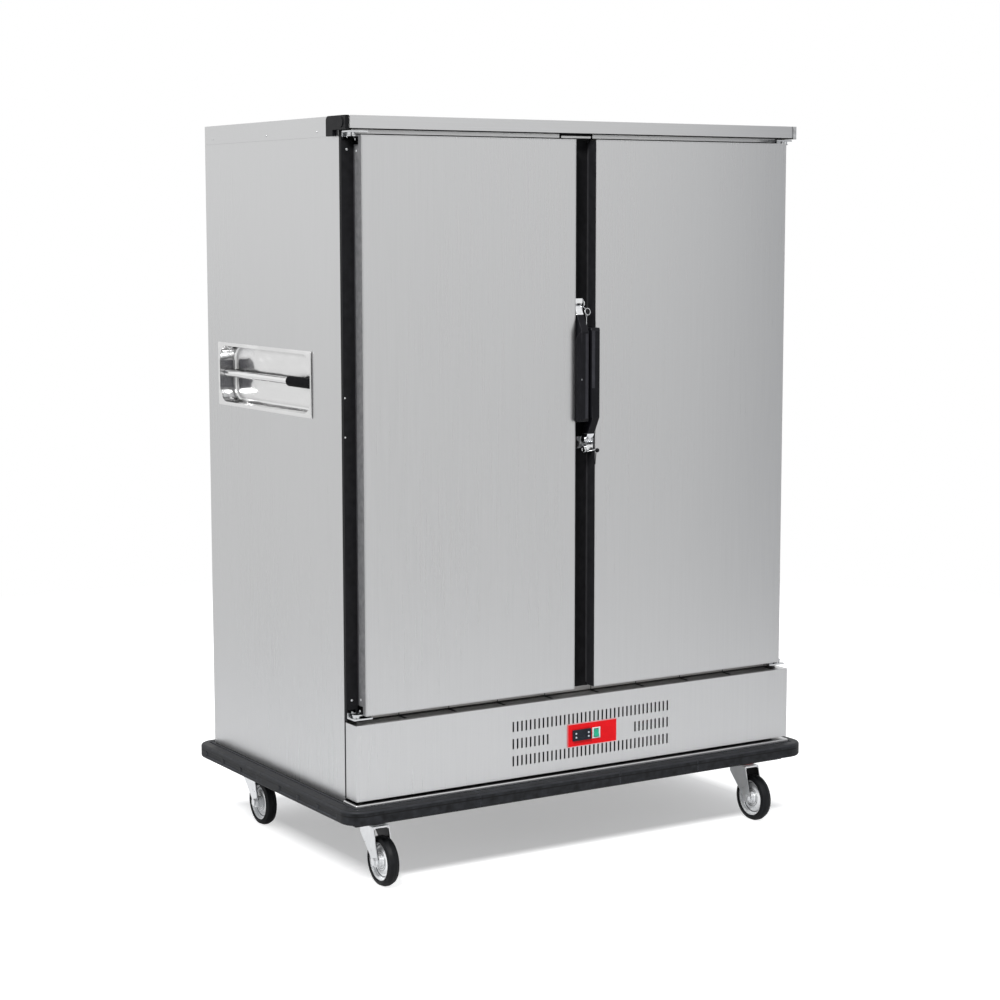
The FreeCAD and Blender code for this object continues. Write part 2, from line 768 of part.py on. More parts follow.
def caster(label, x, y):
    """One swivel caster, its wheel trailing towards the front."""
    axle_y = f"({y} - caster_trail)"
    axle_z = "wheel_diameter / 2"
    radius = "(wheel_diameter / 2)"
    rim = f"({radius} - tyre_thick)"
    leg_in = "(hub_long / 2 + fork_side_gap)"
    leg_out = f"({leg_in} + fork_sheet)"

    fork = Piece("caster_fork")
    crown_bottom = "(crown_top - fork_sheet)"
    top_z = f"({crown_bottom} - {axle_z})"
    # Side plates run from the crown down to the axle, which lies in front of the kingpin.
    side_plate = [
        ("caster_trail + fork_top_wide / 2", f"{top_z} + fork_sheet"),
        ("caster_trail - fork_top_wide / 2 - fork_front_wide", f"{top_z} + fork_sheet"),
        ("-fork_end_radius", "0"),
        ("-fork_end_radius * 0.7", "-fork_end_radius * 0.7"),
        ("0", "-fork_end_radius"),
        ("fork_end_radius * 0.7", "-fork_end_radius * 0.7"),
        ("fork_end_radius * 1.1", "0"),
        ("caster_trail + fork_top_wide / 2", f"{top_z} - fork_shoulder"),
    ]
    crown_front = "caster_trail - fork_top_wide / 2 - fork_front_wide"
    crown_rear = "caster_trail + fork_top_wide / 2"
    fork.add("XY", top_z, f"{top_z} + fork_sheet",
             rect(f"-{leg_out}", leg_out, crown_front, crown_rear),
             disc("0", "caster_trail", "kingpin_radius + running_fit"))
    fork.add("YZ", f"-{leg_out}", f"-{leg_in}", side_plate)
    fork.add("YZ", leg_in, leg_out, side_plate)
    nut_out = f"({leg_out} + nut_thick)"
    fork.add("YZ", f"-{nut_out}", nut_out, disc("0", "0", "axle_radius"))
    for low, high in ((f"-{nut_out}", f"-{leg_out}"), (leg_out, nut_out)):
        fork.add("YZ", low, high, hexagon("axle_nut"))
    fork.place(x, axle_y, axle_z)
    node(f"caster_fork_{label}", fork)

    wheel = Piece("caster_wheel")
    half_rim = "(rim_width / 2)"
    half_web = "(web_thick / 2)"
    half_dish = "(dish_thick / 2)"
    half_hub = "(hub_long / 2)"
    bore = "(axle_radius + running_fit)"
    profile = [
        (bore, f"-{half_hub}"),
        ("hub_outer", f"-{half_hub}"),
        ("hub_outer", f"-{half_dish}"),
        ("ring_radius - dish_thick / 2", f"-{half_dish}"),
        ("ring_radius", f"-{half_web}"),
        (f"{rim} - rim_sheet", f"-{half_web}"),
        (f"{rim} - rim_sheet", f"-{half_rim}"),
        (rim, f"-{half_rim}"),
        (rim, half_rim),
        (f"{rim} - rim_sheet", half_rim),
        (f"{rim} - rim_sheet", half_web),
        ("ring_radius", half_web),
        ("ring_radius - dish_thick / 2", half_dish),
        ("hub_outer", half_dish),
        ("hub_outer", half_hub),
        (bore, half_hub),
    ]
    wheel.spin("XY", "H_Axis", [(across, out) for out, across in profile])
    wheel.place(x, axle_y, axle_z)
    node(f"caster_wheel_{label}", wheel)

    tyre = Piece("caster_tyre")
    half_tyre = "(tyre_width / 2)"
    tread = [
        (f"-{half_rim}", rim),
        (f"-{half_tyre}", f"{rim} + tyre_bead"),
        (f"-{half_tyre}", f"{radius} - tyre_round"),
        (f"-({half_tyre} - tyre_round * 0.3)", f"{radius} - tyre_round * 0.3"),
        (f"-({half_tyre} - tyre_round)", radius),
        (f"{half_tyre} - tyre_round", radius),
        (f"{half_tyre} - tyre_round * 0.3", f"{radius} - tyre_round * 0.3"),
        (half_tyre, f"{radius} - tyre_round"),
        (half_tyre, f"{rim} + tyre_bead"),
        (half_rim, rim),
    ]
    tyre.spin("XY", "H_Axis", tread)
    tyre.place(x, axle_y, axle_z)
    node(f"caster_tyre_{label}", tyre)


def hexagon(radius):
    """A nut's outline, point up, about the sketch's origin."""
    flat = f"({radius}) * 0.866"
    half = f"({radius}) * 0.5"
    return [("0", radius), (flat, half), (flat, f"-{half}"), ("0", f"-({radius})"),
            (f"-{flat}", f"-{half}"), (f"-{flat}", half)]


def caster_plates():
    """Four bolted top plates, each with its swivel race and kingpin."""
    plates = []
    for x in ("-caster_x", "caster_x"):
        for y in ("-caster_y", "caster_y"):
            plate = Piece("caster_plate")
            top = "caster_height"
            plate.add("XY", f"{top} - caster_sheet", top,
                      rect("-plate_long / 2", "plate_long / 2", "-plate_short / 2", "plate_short / 2"))
            plate.round("plate_corner", upright)
            plate.add("XY", "crown_top + fit_gap", f"{top} - caster_sheet", disc("0", "0", "race_radius"))
            under = "crown_top - fork_sheet - fit_gap"
            foot = f"({under} - kingpin_head)"
            plate.add("XY", foot, "crown_top + fit_gap", disc("0", "0", "kingpin_radius"))
            plate.add("XY", foot, under, disc("0", "0", "kingpin_radius * 1.7"))
            plates.append(plate.place(x, y))
    return group(plates)


# Shell

def side_panel():
    """Left outer sheet, cut out for the handle recess."""
    panel = Piece("side_panel")
    panel.add("YZ", f"-{SIDE}", f"-{SIDE} + skin", rect("-side_reach", "rear_reach", SHEET_FOOT, LID_UNDER))
    low, high, bottom, top = recess_sides("recess_flange - recess_sheet")
    panel.cut("YZ", f"-{SIDE}", f"-{SIDE} + skin", rounded(low, high, bottom, top, "recess_corner"))
    return panel


def recess_sides(inset):
    """The four sides of the handle recess, drawn in from its flange."""
    low = f"(recess_middle - recess_long / 2 + {inset})"
    high = f"(recess_middle + recess_long / 2 - ({inset}))"
    bottom = f"(recess_height - recess_high / 2 + {inset})"
    top = f"(recess_height + recess_high / 2 - ({inset}))"
    return low, high, bottom, top


def rear_panel():
    """Rear outer sheet with louvre slots behind the machine space."""
    panel = Piece("rear_panel")
    out = f"({SIDE} - skin)"
    panel.add("XZ", "rear_reach - skin", "rear_reach", rect(f"-{out}", out, SHEET_FOOT, LID_UNDER))
    low = f"({PANEL_BOTTOM} + louvre_lift)"
    outlines = [rect(f"{x} - duct_slot_long / 2", f"{x} + duct_slot_long / 2", low, f"{low} + duct_slot_high")
                for x in ("-caster_x / 2", "caster_x / 2")]
    slots = panel.cut("XZ", "rear_reach - skin", "rear_reach", *outlines)
    panel.row(slots, "V_Axis", "louvre_count", "louvre_pitch")
    return panel


def top_panel():
    """Pressed lid: a tray turned over, with a shorter fascia along the front."""
    lid = Piece("top_panel")
    out = f"({SIDE} + lid_sheet)"
    rear = "(rear_reach + lid_sheet)"
    skirt = "(overall_height - lid_skirt)"
    fascia = "(overall_height - lid_fascia)"
    lid.add("XY", skirt, "overall_height", rect(f"-{out}", out, "-lid_reach", rear))
    lid.round("lid_corner", upright)
    lid.cut("XY", skirt, LID_UNDER, rect(f"-{SIDE}", SIDE, "-lid_reach + lid_sheet", "rear_reach"))
    lid.cut("XY", skirt, fascia, rect(f"-{out}", out, "-lid_reach", "-side_reach"))
    return lid


def foam_board(x_low, x_high, y_low, y_high, z_low, z_high):
    """One plain board of foam."""
    board = Piece("foam")
    board.add("XY", z_low, z_high, rect(x_low, x_high, y_low, y_high))
    return board


def insulation():
    """Foam boards of the insulated box: sides round the handle recesses, back, ceiling and floor."""
    outer = f"({SIDE} - skin)"
    inner = f"({INNER} + skin)"
    back = f"({LINER_BACK} + skin)"
    rear = "(rear_reach - skin)"
    low, high, bottom, top = recess_sides("recess_flange - recess_sheet")
    side = (f"-{outer}", f"-{inner}")
    behind = f"(-{SIDE} + recess_deep + skin + fit_gap)"
    side_boards = [
        foam_board(*side, "-side_reach", rear, FOAM_BOTTOM, bottom),
        foam_board(*side, "-side_reach", rear, top, LID_UNDER),
        foam_board(*side, "-side_reach", low, bottom, top),
        foam_board(*side, high, rear, bottom, top),
        foam_board(behind, side[1], low, high, bottom, top),
    ]
    rear_board = foam_board(f"-{inner}", inner, back, rear, FOAM_BOTTOM, LID_UNDER)
    ceiling = foam_board(f"-{inner}", inner, "-side_reach", back, "liner_ceiling + skin", LID_UNDER)
    floor = foam_board(f"-{inner}", inner, "-side_reach", back, FOAM_BOTTOM, "liner_floor - skin")
    floor.cut("XY", FOAM_BOTTOM, "liner_floor - skin", disc("0", "pipe_hole_y", "pipe_hole"))
    return group(side_boards + [mirror(board) for board in side_boards] + [rear_board, ceiling, floor])


def inner_liner():
    """Stainless inner box, open at the front."""
    liner = Piece("inner_liner")
    out = f"({INNER} + skin)"
    back = f"({LINER_BACK} + skin)"
    liner.add("XZ", "-side_reach", back, rect(f"-{out}", out, "liner_floor - skin", "liner_ceiling + skin"))
    liner.cut("XZ", "-side_reach", LINER_BACK, rect(f"-{INNER}", INNER, "liner_floor", "liner_ceiling"))
    liner.cut("XY", "liner_floor - skin", "liner_floor", disc("0", "pipe_hole_y", "pipe_hole"))
    return liner


def front_frame():
    """Black insulating frame of the two openings: jambs, head, sill and mullion."""
    front, back = ("-frame_reach", "-side_reach")
    jamb_in = f"({SIDE} - jamb_width)"
    sill_top = "(sill_bottom + sill_height)"
    head_bottom = "(head_top - head_height)"
    jamb = Piece("jamb")
    jamb.add("XZ", front, back, rect(f"-{SIDE}", f"-{jamb_in}", "sill_bottom", "head_top"))
    sill = Piece("sill")
    sill.add("XZ", front, back, rect(f"-{jamb_in}", jamb_in, "sill_bottom", sill_top))
    head = Piece("head")
    head.add("XZ", front, back, rect(f"-{jamb_in}", jamb_in, head_bottom, "head_top"))
    mullion = Piece("mullion")
    mullion.add("XZ", front, back, rect("-mullion_width / 2", "mullion_width / 2", sill_top, head_bottom))
    return group([jamb, mirror(jamb), sill, head, mullion])


# Handles and guards

def handle_recess():
    """Left push handle: a drawn pan with a flange, and a bar across it."""
    pan = Piece("handle_pan")
    low, high, bottom, top = recess_sides("0")
    face = f"-{SIDE}"
    pan.add("YZ", f"{face} - skin", face, rect(low, high, bottom, top))
    low, high, bottom, top = recess_sides("recess_flange - recess_sheet + fit_gap")
    floor = f"{face} + recess_deep + skin"
    pan.add("YZ", face, floor, rounded(low, high, bottom, top, "recess_corner"))
    pan.cut("YZ", f"{face} - skin", f"{face} + recess_deep",
            rounded(*recess_sides("recess_flange"), "recess_corner - recess_sheet"))
    pan.round("recess_draft", lambda edge: near(edge, 0, f"{face} + recess_deep"))
    return pan


def push_bar():
    """Round bar between the end walls of the left recess."""
    bar = Piece("push_bar")
    low, high, bottom, top = recess_sides("recess_flange")
    bar.add("XZ", low, high, disc(f"-{SIDE} + bar_deep", "recess_height", "bar_radius"))
    return bar


def bar_grip():
    """Black sleeve over the front end of the left bar."""
    grip = Piece("bar_grip")
    low, high, bottom, top = recess_sides("recess_flange")
    centre = f"-{SIDE} + bar_deep"
    grip.add("XZ", f"{low} + fit_gap", f"{low} + grip_long",
             disc(centre, "recess_height", "grip_radius"),
             disc(centre, "recess_height", "bar_radius + running_fit"))
    return grip


def corner_guard():
    """Plastic guard on the front end of the left lid skirt."""
    guard = Piece("corner_guard")
    inner = f"-({SIDE} + lid_sheet)"
    outer = f"-({SIDE} + lid_sheet + guard_thick)"
    rear = "(guard_long - lid_reach)"
    bottom = "(overall_height - guard_high)"
    outline = [
        ("-lid_reach", bottom),
        ("-lid_reach", "overall_height"),
        (rear, "overall_height"),
        (rear, "overall_height - lid_skirt"),
        (f"{rear} - guard_leg", "overall_height - lid_skirt"),
        (f"{rear} - guard_leg", bottom),
    ]
    guard.add("YZ", outer, inner, outline)
    guard.round("guard_round", lambda edge: along(edge, 0) and near(edge, 1, rear)
                and near(edge, 2, "overall_height"))
    guard.add("YZ", f"{outer} - guard_boss_proud", outer,
              disc("-lid_reach + guard_boss * 1.9", "overall_height - guard_high / 2", "guard_boss"))
    return guard


# Control panel

def control_panel():
    """Stainless fascia of the machine space, with three rows of air slots."""
    panel = Piece("control_panel")
    out = f"({SIDE} + skin)"
    front, back = ("-panel_reach", "-panel_reach + panel_depth")
    panel.add("XZ", front, back, rect(f"-{out}", out, PANEL_BOTTOM, PANEL_TOP))
    panel.cut("XZ", f"{front} + skin", back,
              rect(f"-({out} - skin)", f"{out} - skin", f"{PANEL_BOTTOM} + skin", f"{PANEL_TOP} - skin"))
    # A foot along the bottom stands the fascia on the tray.
    panel.add("XY", FLOOR, PANEL_BOTTOM,
              rect(f"-({SIDE} - wall)", f"{SIDE} - wall", f"{back} - foot_depth", back))
    start = "(vent_middle - slot_pitch * (slot_count - 1) / 2)"
    first = "(vent_middle + slot_pitch * (slot_count - 1) / 2 - slot_pitch * (slot_side_count - 1))"
    whole = [slot(start, f"row_middle + {lift}") for lift in ("row_pitch", "-row_pitch")]
    full_rows = panel.cut("XZ", front, f"{front} + skin", *whole)
    panel.row(full_rows, "H_Axis", "slot_count", "slot_pitch")
    partial = [slot(x, "row_middle") for x in (start, first)]
    part_rows = panel.cut("XZ", front, f"{front} + skin", *partial)
    panel.row(part_rows, "H_Axis", "slot_side_count", "slot_pitch")
    panel.cut("XZ", front, f"{front} + skin", *control_holes())
    return panel


def slot(x, z):
    """One upright air slot about its middle."""
    return rect(f"{x} - slot_wide / 2", f"{x} + slot_wide / 2",
                f"{z} - slot_high / 2", f"{z} + slot_high / 2")


def controller_box(shrink="0"):
    """Outline of the controller on the front, drawn in by a margin."""
    x = "(vent_middle - controller_side)"
    wide = f"(controller_wide / 2 - ({shrink}))"
    high = f"(controller_high / 2 - ({shrink}))"
    return rect(f"{x} - {wide}", f"{x} + {wide}", f"row_middle - {high}", f"row_middle + {high}")


def switch_box(shrink="0"):
    """Outline of the switch on the front, drawn in by a margin."""
    x = "(vent_middle + switch_side)"
    wide = f"(switch_wide / 2 - ({shrink}))"
    high = f"(switch_high / 2 - ({shrink}))"
    return rect(f"{x} - {wide}", f"{x} + {wide}", f"row_middle - {high}", f"row_middle + {high}")


def control_holes():
    """Cut-outs for the controller and the switch, clear of their bodies."""
    return controller_box("bezel_rim - fit_gap"), switch_box("bezel_rim - fit_gap")


PLATE_FACE = "(-panel_reach - plate_sheet)"


def control_plate():
    """Red plate round the controller and the switch."""
    plate = Piece("control_plate")
    plate.add("XZ", PLATE_FACE, "-panel_reach",
              rect("vent_middle - plate_wide / 2", "vent_middle + plate_wide / 2",
                   "row_middle - plate_high / 2", "row_middle + plate_high / 2"))
    plate.round("plate_round", lambda edge: along(edge, 1))
    plate.cut("XZ", PLATE_FACE, "-panel_reach", *control_holes())
    return plate


def key_outline(side, lift, margin="0"):
    """One square key of the controller; side and lift are signs."""
    x = f"(vent_middle - controller_side + ({side}) * key_side)"
    z = f"(row_middle + ({lift}) * key_lift)"
    half = f"(key_size / 2 + {margin})"
    return rect(f"{x} - {half}", f"{x} + {half}", f"{z} - {half}", f"{z} + {half}")


def controller():
    """Temperature controller: bezel, body behind the panel, display window and key wells."""
    box = Piece("controller")
    face = f"({PLATE_FACE} - controller_proud)"
    box.add("XZ", face, PLATE_FACE, controller_box())
    box.add("XZ", PLATE_FACE, f"{PLATE_FACE} + controller_deep", controller_box("bezel_rim"))
    x = "(vent_middle - controller_side)"
    box.cut("XZ", face, f"{face} + display_deep",
            rect(f"{x} - display_wide / 2", f"{x} + display_wide / 2",
                 "row_middle - display_high / 2", "row_middle + display_high / 2"))
    wells = [key_outline(side, lift, "key_gap") for side in (-1, 1) for lift in (-1, 1)]
    box.cut("XZ", face, f"{face} + key_deep", *wells)
    return box


def controller_key(side, lift):
    """One key, standing a little proud of the controller's face."""
    key = Piece("controller_key")
    face = f"({PLATE_FACE} - controller_proud)"
    key.add("XZ", f"{face} - key_proud", f"{face} + key_deep - key_proud - fit_gap",
            key_outline(side, lift))
    return key


def rocker_housing():
    """Switch body with a bezel and a well for the rocker."""
    housing = Piece("rocker_housing")
    face = f"({PLATE_FACE} - switch_proud)"
    housing.add("XZ", face, PLATE_FACE, switch_box())
    housing.add("XZ", PLATE_FACE, f"{PLATE_FACE} + switch_deep", switch_box("bezel_rim"))
    x = "(vent_middle + switch_side)"
    half = "(rocker_wide / 2 + rocker_gap)"
    tall = "(rocker_high / 2 + rocker_gap)"
    housing.cut("XZ", face, f"{face} + rocker_high / 2",
                rect(f"{x} - {half}", f"{x} + {half}", f"row_middle - {tall}", f"row_middle + {tall}"))
    axle = disc(f"{face} + rocker_proud", "row_middle", "rocker_axle + running_fit")
    reach = f"({half} + axle_seat)"
    housing.cut("YZ", f"{x} - {reach}", f"{x} + {reach}", axle)
    return housing


def rocker():
    """Two-sided rocker key on its axle, pressed in at the top."""
    key = Piece("rocker")
    face = f"({PLATE_FACE} - switch_proud)"
    x = "(vent_middle + switch_side)"
    half = "(rocker_wide / 2)"
    tall = "(rocker_high / 2)"
    outline = [
        (f"{face} + rocker_proud * 1.6", f"row_middle - {tall} + rocker_trim"),
        (f"{face} - rocker_proud", f"row_middle - {tall} + rocker_trim"),
        (face, "row_middle"),
        (f"{face} + rocker_sink", f"row_middle + {tall} - rocker_trim"),
        (f"{face} + rocker_proud * 1.6", f"row_middle + {tall} - rocker_trim"),
    ]
    key.add("YZ", f"{x} - {half}", f"{x} + {half}", outline)
    reach = "(rocker_wide / 2 + rocker_gap + axle_seat - fit_gap)"
    key.add("YZ", f"{x} - {reach}", f"{x} + {reach}",
            disc(f"{face} + rocker_proud", "row_middle", "rocker_axle"))
    return key


# Doors

def door_skin():
    """Left door's stainless pan, with returns at the hinge side, top and bottom."""
    skin_pan = Piece("door_skin")
    front, back = ("-door_reach", f"-{PAN_BACK}")
    skin_pan.add("XZ", front, back, rect(f"-{DOOR_OUT}", f"-{DOOR_IN}", "door_bottom", DOOR_TOP))
    skin_pan.cut("XZ", f"{front} + skin", back,
                 rect(f"-{DOOR_OUT} + skin", f"-{DOOR_IN}", "door_bottom + skin", f"{DOOR_TOP} - skin"))
    return skin_pan


def door_liner():
    """Foam-filled black inner door, bare at the free edge, with a sunk inner panel."""
    liner = Piece("door_liner")
    liner.add("XZ", "-door_reach + skin", f"-{PAN_BACK}",
              rect(f"-{DOOR_OUT} + skin", f"-{DOOR_IN}", "door_bottom + skin", f"{DOOR_TOP} - skin"))
    sides = (f"-{DOOR_OUT} + liner_rim", f"-{DOOR_IN} - liner_rim",
             "door_bottom + liner_rim", f"{DOOR_TOP} - liner_rim")
    liner.add("XZ", f"-{PAN_BACK}", f"-{STEP_BACK}", rect(*sides))
    inset = "(gasket_width + liner_panel_inset)"
    liner.cut("XZ", f"-{STEP_BACK} - liner_panel_deep", f"-{STEP_BACK}",
              rect(f"{sides[0]} + {inset}", f"{sides[1]} - {inset}",
                   f"{sides[2]} + {inset}", f"{sides[3]} - {inset}"))
    return liner


def door_gasket():
    """Magnetic seal round the inside of the left door: four lengths that meet at mitred corners."""
    low, high = (f"-{DOOR_OUT} + liner_rim", f"-{DOOR_IN} - liner_rim")
    bottom, top = ("door_bottom + liner_rim", f"{DOOR_TOP} - liner_rim")
    wide = "gasket_width"
    back = "-frame_reach - fit_gap"
    outer = rect(low, high, bottom, top)
    inner = rect(f"{low} + {wide}", f"{high} - {wide}", f"{bottom} + {wide}", f"{top} - {wide}")
    lengths = []
    for i in range(len(outer)):
        after = (i + 1) % len(outer)
        length = Piece("gasket_length")
        length.add("XZ", f"-{STEP_BACK}", back, [outer[i], outer[after], inner[after], inner[i]])
        length.round("gasket_round", lambda edge: near(edge, 1, back) and (along(edge, 0) or upright(edge)))
        lengths.append(length)
    return group(lengths)


def hinge_bracket(z_plate, z_bush, z_pin, flange_low, flange_high):
    """Left pivot bracket: plate, jamb flange, bush and pin. Each pair is low, high."""
    bracket = Piece("hinge_bracket")
    x_low = f"-({SIDE} - skin)"
    bracket.add("XY", *z_plate, rect(x_low, f"{x_low} + hinge_width", "-hinge_reach", "-frame_reach"))
    bracket.add("XZ", "-frame_reach - flange_sheet", "-frame_reach",
                rect(x_low, f"{x_low} + flange_width", flange_low, flange_high))
    bracket.add("XY", *z_bush, disc(f"-{PIVOT_X}", "-pivot_reach", "bush_radius"))
    bracket.add("XY", *z_pin, disc(f"-{PIVOT_X}", "-pivot_reach", "pin_radius"))
    return bracket


def hinge_brackets():
    """Top and bottom pivot brackets of both doors."""
    low_top = "(door_bottom - hinge_gap)"
    high_bottom = f"({DOOR_TOP} + hinge_gap)"
    lower = hinge_bracket((f"{low_top} - hinge_plate", low_top),
                          (low_top, "door_bottom - fit_gap"),
                          (low_top, "door_bottom + arm_sheet"),
                          f"{low_top} - hinge_plate", f"{low_top} + flange_height")
    upper = hinge_bracket((high_bottom, f"{high_bottom} + hinge_plate"),
                          (f"{DOOR_TOP} + fit_gap", high_bottom),
                          (f"{DOOR_TOP} - arm_sheet", high_bottom),
                          f"{high_bottom} - flange_height", f"{high_bottom} + hinge_plate")
    return group([lower, mirror(lower), upper, mirror(upper)])


def hinge_arm(ear_low, ear_high, leaf_low, leaf_high):
    """Door-side hinge arm on the left: a leaf on the door's edge and an ear round the pin."""
    arm = Piece("hinge_arm")
    leaf_out = f"-({DOOR_OUT} + arm_sheet)"
    front, back = ("-pivot_reach - ear_radius", "-pivot_reach + ear_radius")
    arm.add("XY", leaf_low, leaf_high, rect(leaf_out, f"-{DOOR_OUT}", front, back))
    arm.add("XY", ear_low, ear_high, rect(f"-{PIVOT_X}", f"-{DOOR_OUT}", front, back))
    arm.add("XY", ear_low, ear_high, disc(f"-{PIVOT_X}", "-pivot_reach", "ear_radius"))
    arm.cut("XY", ear_low, ear_high, disc(f"-{PIVOT_X}", "-pivot_reach", "pin_radius + running_fit"))
    return arm


def hinge_arms():
    """Lower and upper hinge arms of the left door."""
    lower = hinge_arm("door_bottom", "door_bottom + arm_sheet", "door_bottom", "door_bottom + arm_leaf")
    upper = hinge_arm(f"{DOOR_TOP} - arm_sheet", DOOR_TOP, f"{DOOR_TOP} - arm_leaf", DOOR_TOP)
    return group([lower, upper])


# Latches, drawn for the left door; the right one is the same turned half round

LATCH_Z = "(latch_middle + latch_pivot)"
HUB_OUT = f"(-{DOOR_IN} + latch_plate + fit_gap)"
HUB_IN = f"({HUB_OUT} + hub_width)"
LOCK_Y = "(-latch_reach - latch_plate_deep / 4)"
LOCK_Z = f"({LATCH_Z} + hood_lift + hood_high / 2)"


def latch_bracket():
    """Chrome plate on the door's free edge, with the pivot pin, its head and a hood."""
    bracket = Piece("latch_bracket")
    face = f"-{DOOR_IN}"
    half = "latch_plate_high / 2"
    front = "(-latch_reach - latch_plate_deep / 2)"
    rear = "(-latch_reach + latch_plate_deep / 2)"
    plate_in = f"({face} + latch_plate)"
    clear = f"({HUB_IN} + fit_gap)"
    bracket.add("YZ", face, plate_in, rect(front, rear, f"{LATCH_Z} - {half}", f"{LATCH_Z} + {half}"))
    bracket.round("latch_corner", lambda edge: along(edge, 0))
    bracket.add("YZ", plate_in, clear, disc("-latch_reach", LATCH_Z, "latch_pin"))
    bracket.add("YZ", clear, f"{clear} + hood_sheet", disc("-latch_reach", LATCH_Z, "latch_head"))
    # The hood stands over the hub and carries the lock pin.
    hood_low = f"({LATCH_Z} + hood_lift)"
    bracket.add("XY", hood_low, f"{hood_low} + hood_high", rect(plate_in, clear, front, "-latch_reach"))
    bracket.cut("YZ", f"{plate_in} + hood_wall", clear, disc(LOCK_Y, LOCK_Z, "lock_radius + running_fit"))
    return bracket


def latch_lever():
    """Lever: hub, cranked grip in front of the doors and a hooked tongue behind the hub."""
    lever = Piece("latch_lever")
    top = "(latch_middle + lever_top)"
    bottom = "(latch_middle - lever_bottom)"
    middle = f"({HUB_OUT} + hub_width / 2)"
    grip = [
        ("-lever_front", top),
        ("-lever_front", f"{bottom} + lever_nose"),
        ("-lever_front + lever_bevel", bottom),
        ("-lever_back - lever_heel", bottom),
        ("-lever_back", f"{bottom} + lever_bevel"),
        ("-lever_back", f"{top} - lever_neck"),
    ]
    lever.add("YZ", f"{middle} - lever_width / 2", f"{middle} + lever_width / 2", grip)
    lever.round("lever_round", lambda edge: upright(edge) and near(edge, 1, "-lever_front"))
    arm = [
        ("-latch_reach + hub_radius", LATCH_Z),
        ("-latch_reach - hub_radius", LATCH_Z),
        ("-lever_front", top),
        ("-lever_front", f"{top} - arm_lap"),
        ("-lever_back", f"{top} - arm_lap"),
        ("-lever_back", f"{top} - arm_root"),
        ("-latch_reach + hub_radius * 0.6", f"{LATCH_Z} - hub_radius * 1.3"),
    ]
    lever.add("YZ", HUB_OUT, HUB_IN, arm)
    lever.add("YZ", HUB_OUT, HUB_IN, disc("-latch_reach", LATCH_Z, "hub_radius"))
    # The tongue reaches back under the keeper's bar; its nose rises behind the bar.
    tongue_top = f"({strike_height()} - strike_radius - fit_gap * 2)"
    tongue = [
        ("-latch_reach", f"{tongue_top} - nose_high - tongue_thick"),
        ("-nose_reach + nose_thick", f"{tongue_top} - nose_high - tongue_thick"),
        ("-nose_reach + nose_thick", tongue_top),
        ("-nose_reach", tongue_top),
        ("-nose_reach - nose_slope", f"{tongue_top} - nose_high"),
        ("-latch_reach", f"{tongue_top} - nose_high"),
    ]
    lever.add("YZ", f"{middle} - tongue_width / 2", f"{middle} + tongue_width / 2", tongue)
    lever.cut("YZ", HUB_OUT, HUB_IN, disc("-latch_reach", LATCH_Z, "latch_pin + running_fit"))
    return lever


def strike_height():
    """Height of the keeper's bar, level with the top of the hub."""
    return f"({LATCH_Z} + hub_radius)"


def latch_keeper():
    """Keeper on the mullion: a plate with two ears and a bar between them."""
    keeper = Piece("latch_keeper")
    middle = f"({HUB_OUT} + hub_width / 2)"
    low, high = (f"{middle} - keeper_width / 2", f"{middle} + keeper_width / 2")
    half = "keeper_high / 2"
    z = strike_height()
    keeper.add("XZ", "-frame_reach - keeper_sheet", "-frame_reach",
               rect(low, high, f"{z} - {half}", f"{z} + {half}"))
    ear = [
        ("-frame_reach - keeper_sheet", f"{z} - strike_radius * 2"),
        ("-strike_reach - strike_radius", f"{z} - strike_radius"),
        ("-strike_reach - strike_radius", f"{z} + strike_radius"),
        ("-frame_reach - keeper_sheet", f"{z} + {half}"),
    ]
    keeper.add("YZ", low, f"{low} + keeper_sheet", ear)
    keeper.add("YZ", f"{high} - keeper_sheet", high, ear)
    keeper.add("YZ", low, high, disc("-strike_reach", z, "strike_radius"))
    return keeper


def lock_pin(down):
    """Pull-out lock pin parked in the hood; its ring hangs towards down, which is -1 or 1 along Z."""
    pin = Piece("lock_pin")
    start = f"-{DOOR_IN} + latch_plate + hood_wall + fit_gap"
    head = f"({HUB_IN} + fit_gap * 2 + hood_sheet)"
    ring_z = f"({LOCK_Z} + ({down}) * (lock_ring - ring_lap))"
    pin.add("YZ", start, head, disc(LOCK_Y, LOCK_Z, "lock_radius"))
    pin.add("YZ", head, f"{head} + lock_wire * 2", disc(LOCK_Y, LOCK_Z, "lock_radius + lock_wire"))
    pin.add("YZ", head, f"{head} + lock_wire * 2", disc(LOCK_Y, ring_z, "lock_ring"),
            disc(LOCK_Y, ring_z, "lock_ring - lock_wire * 2"))
    return pin


# Cold compartments

def centre_duct():
    """Air duct between the compartments: a folded sheet, open at the back, with air slots."""
    duct = Piece("centre_duct")
    half = "(duct_width / 2)"
    duct.add("XY", "liner_floor", "liner_ceiling",
             [(f"-{half}", "-side_reach"), (half, "-side_reach"), (half, LINER_BACK),
              (f"{half} - duct_sheet", LINER_BACK), (f"{half} - duct_sheet", "-side_reach + duct_sheet"),
              (f"-{half} + duct_sheet", "-side_reach + duct_sheet"), (f"-{half} + duct_sheet", LINER_BACK),
              (f"-{half}", LINER_BACK)])
    for height in ("supply_height", "return_height"):
        outline = rect("-duct_slot_long / 2", "duct_slot_long / 2", height, f"{height} + duct_slot_high")
        slots = duct.cut("YZ", f"-{half}", half, outline)
        duct.row(slots, "V_Axis", "duct_slot_count", "duct_slot_pitch")
    return duct


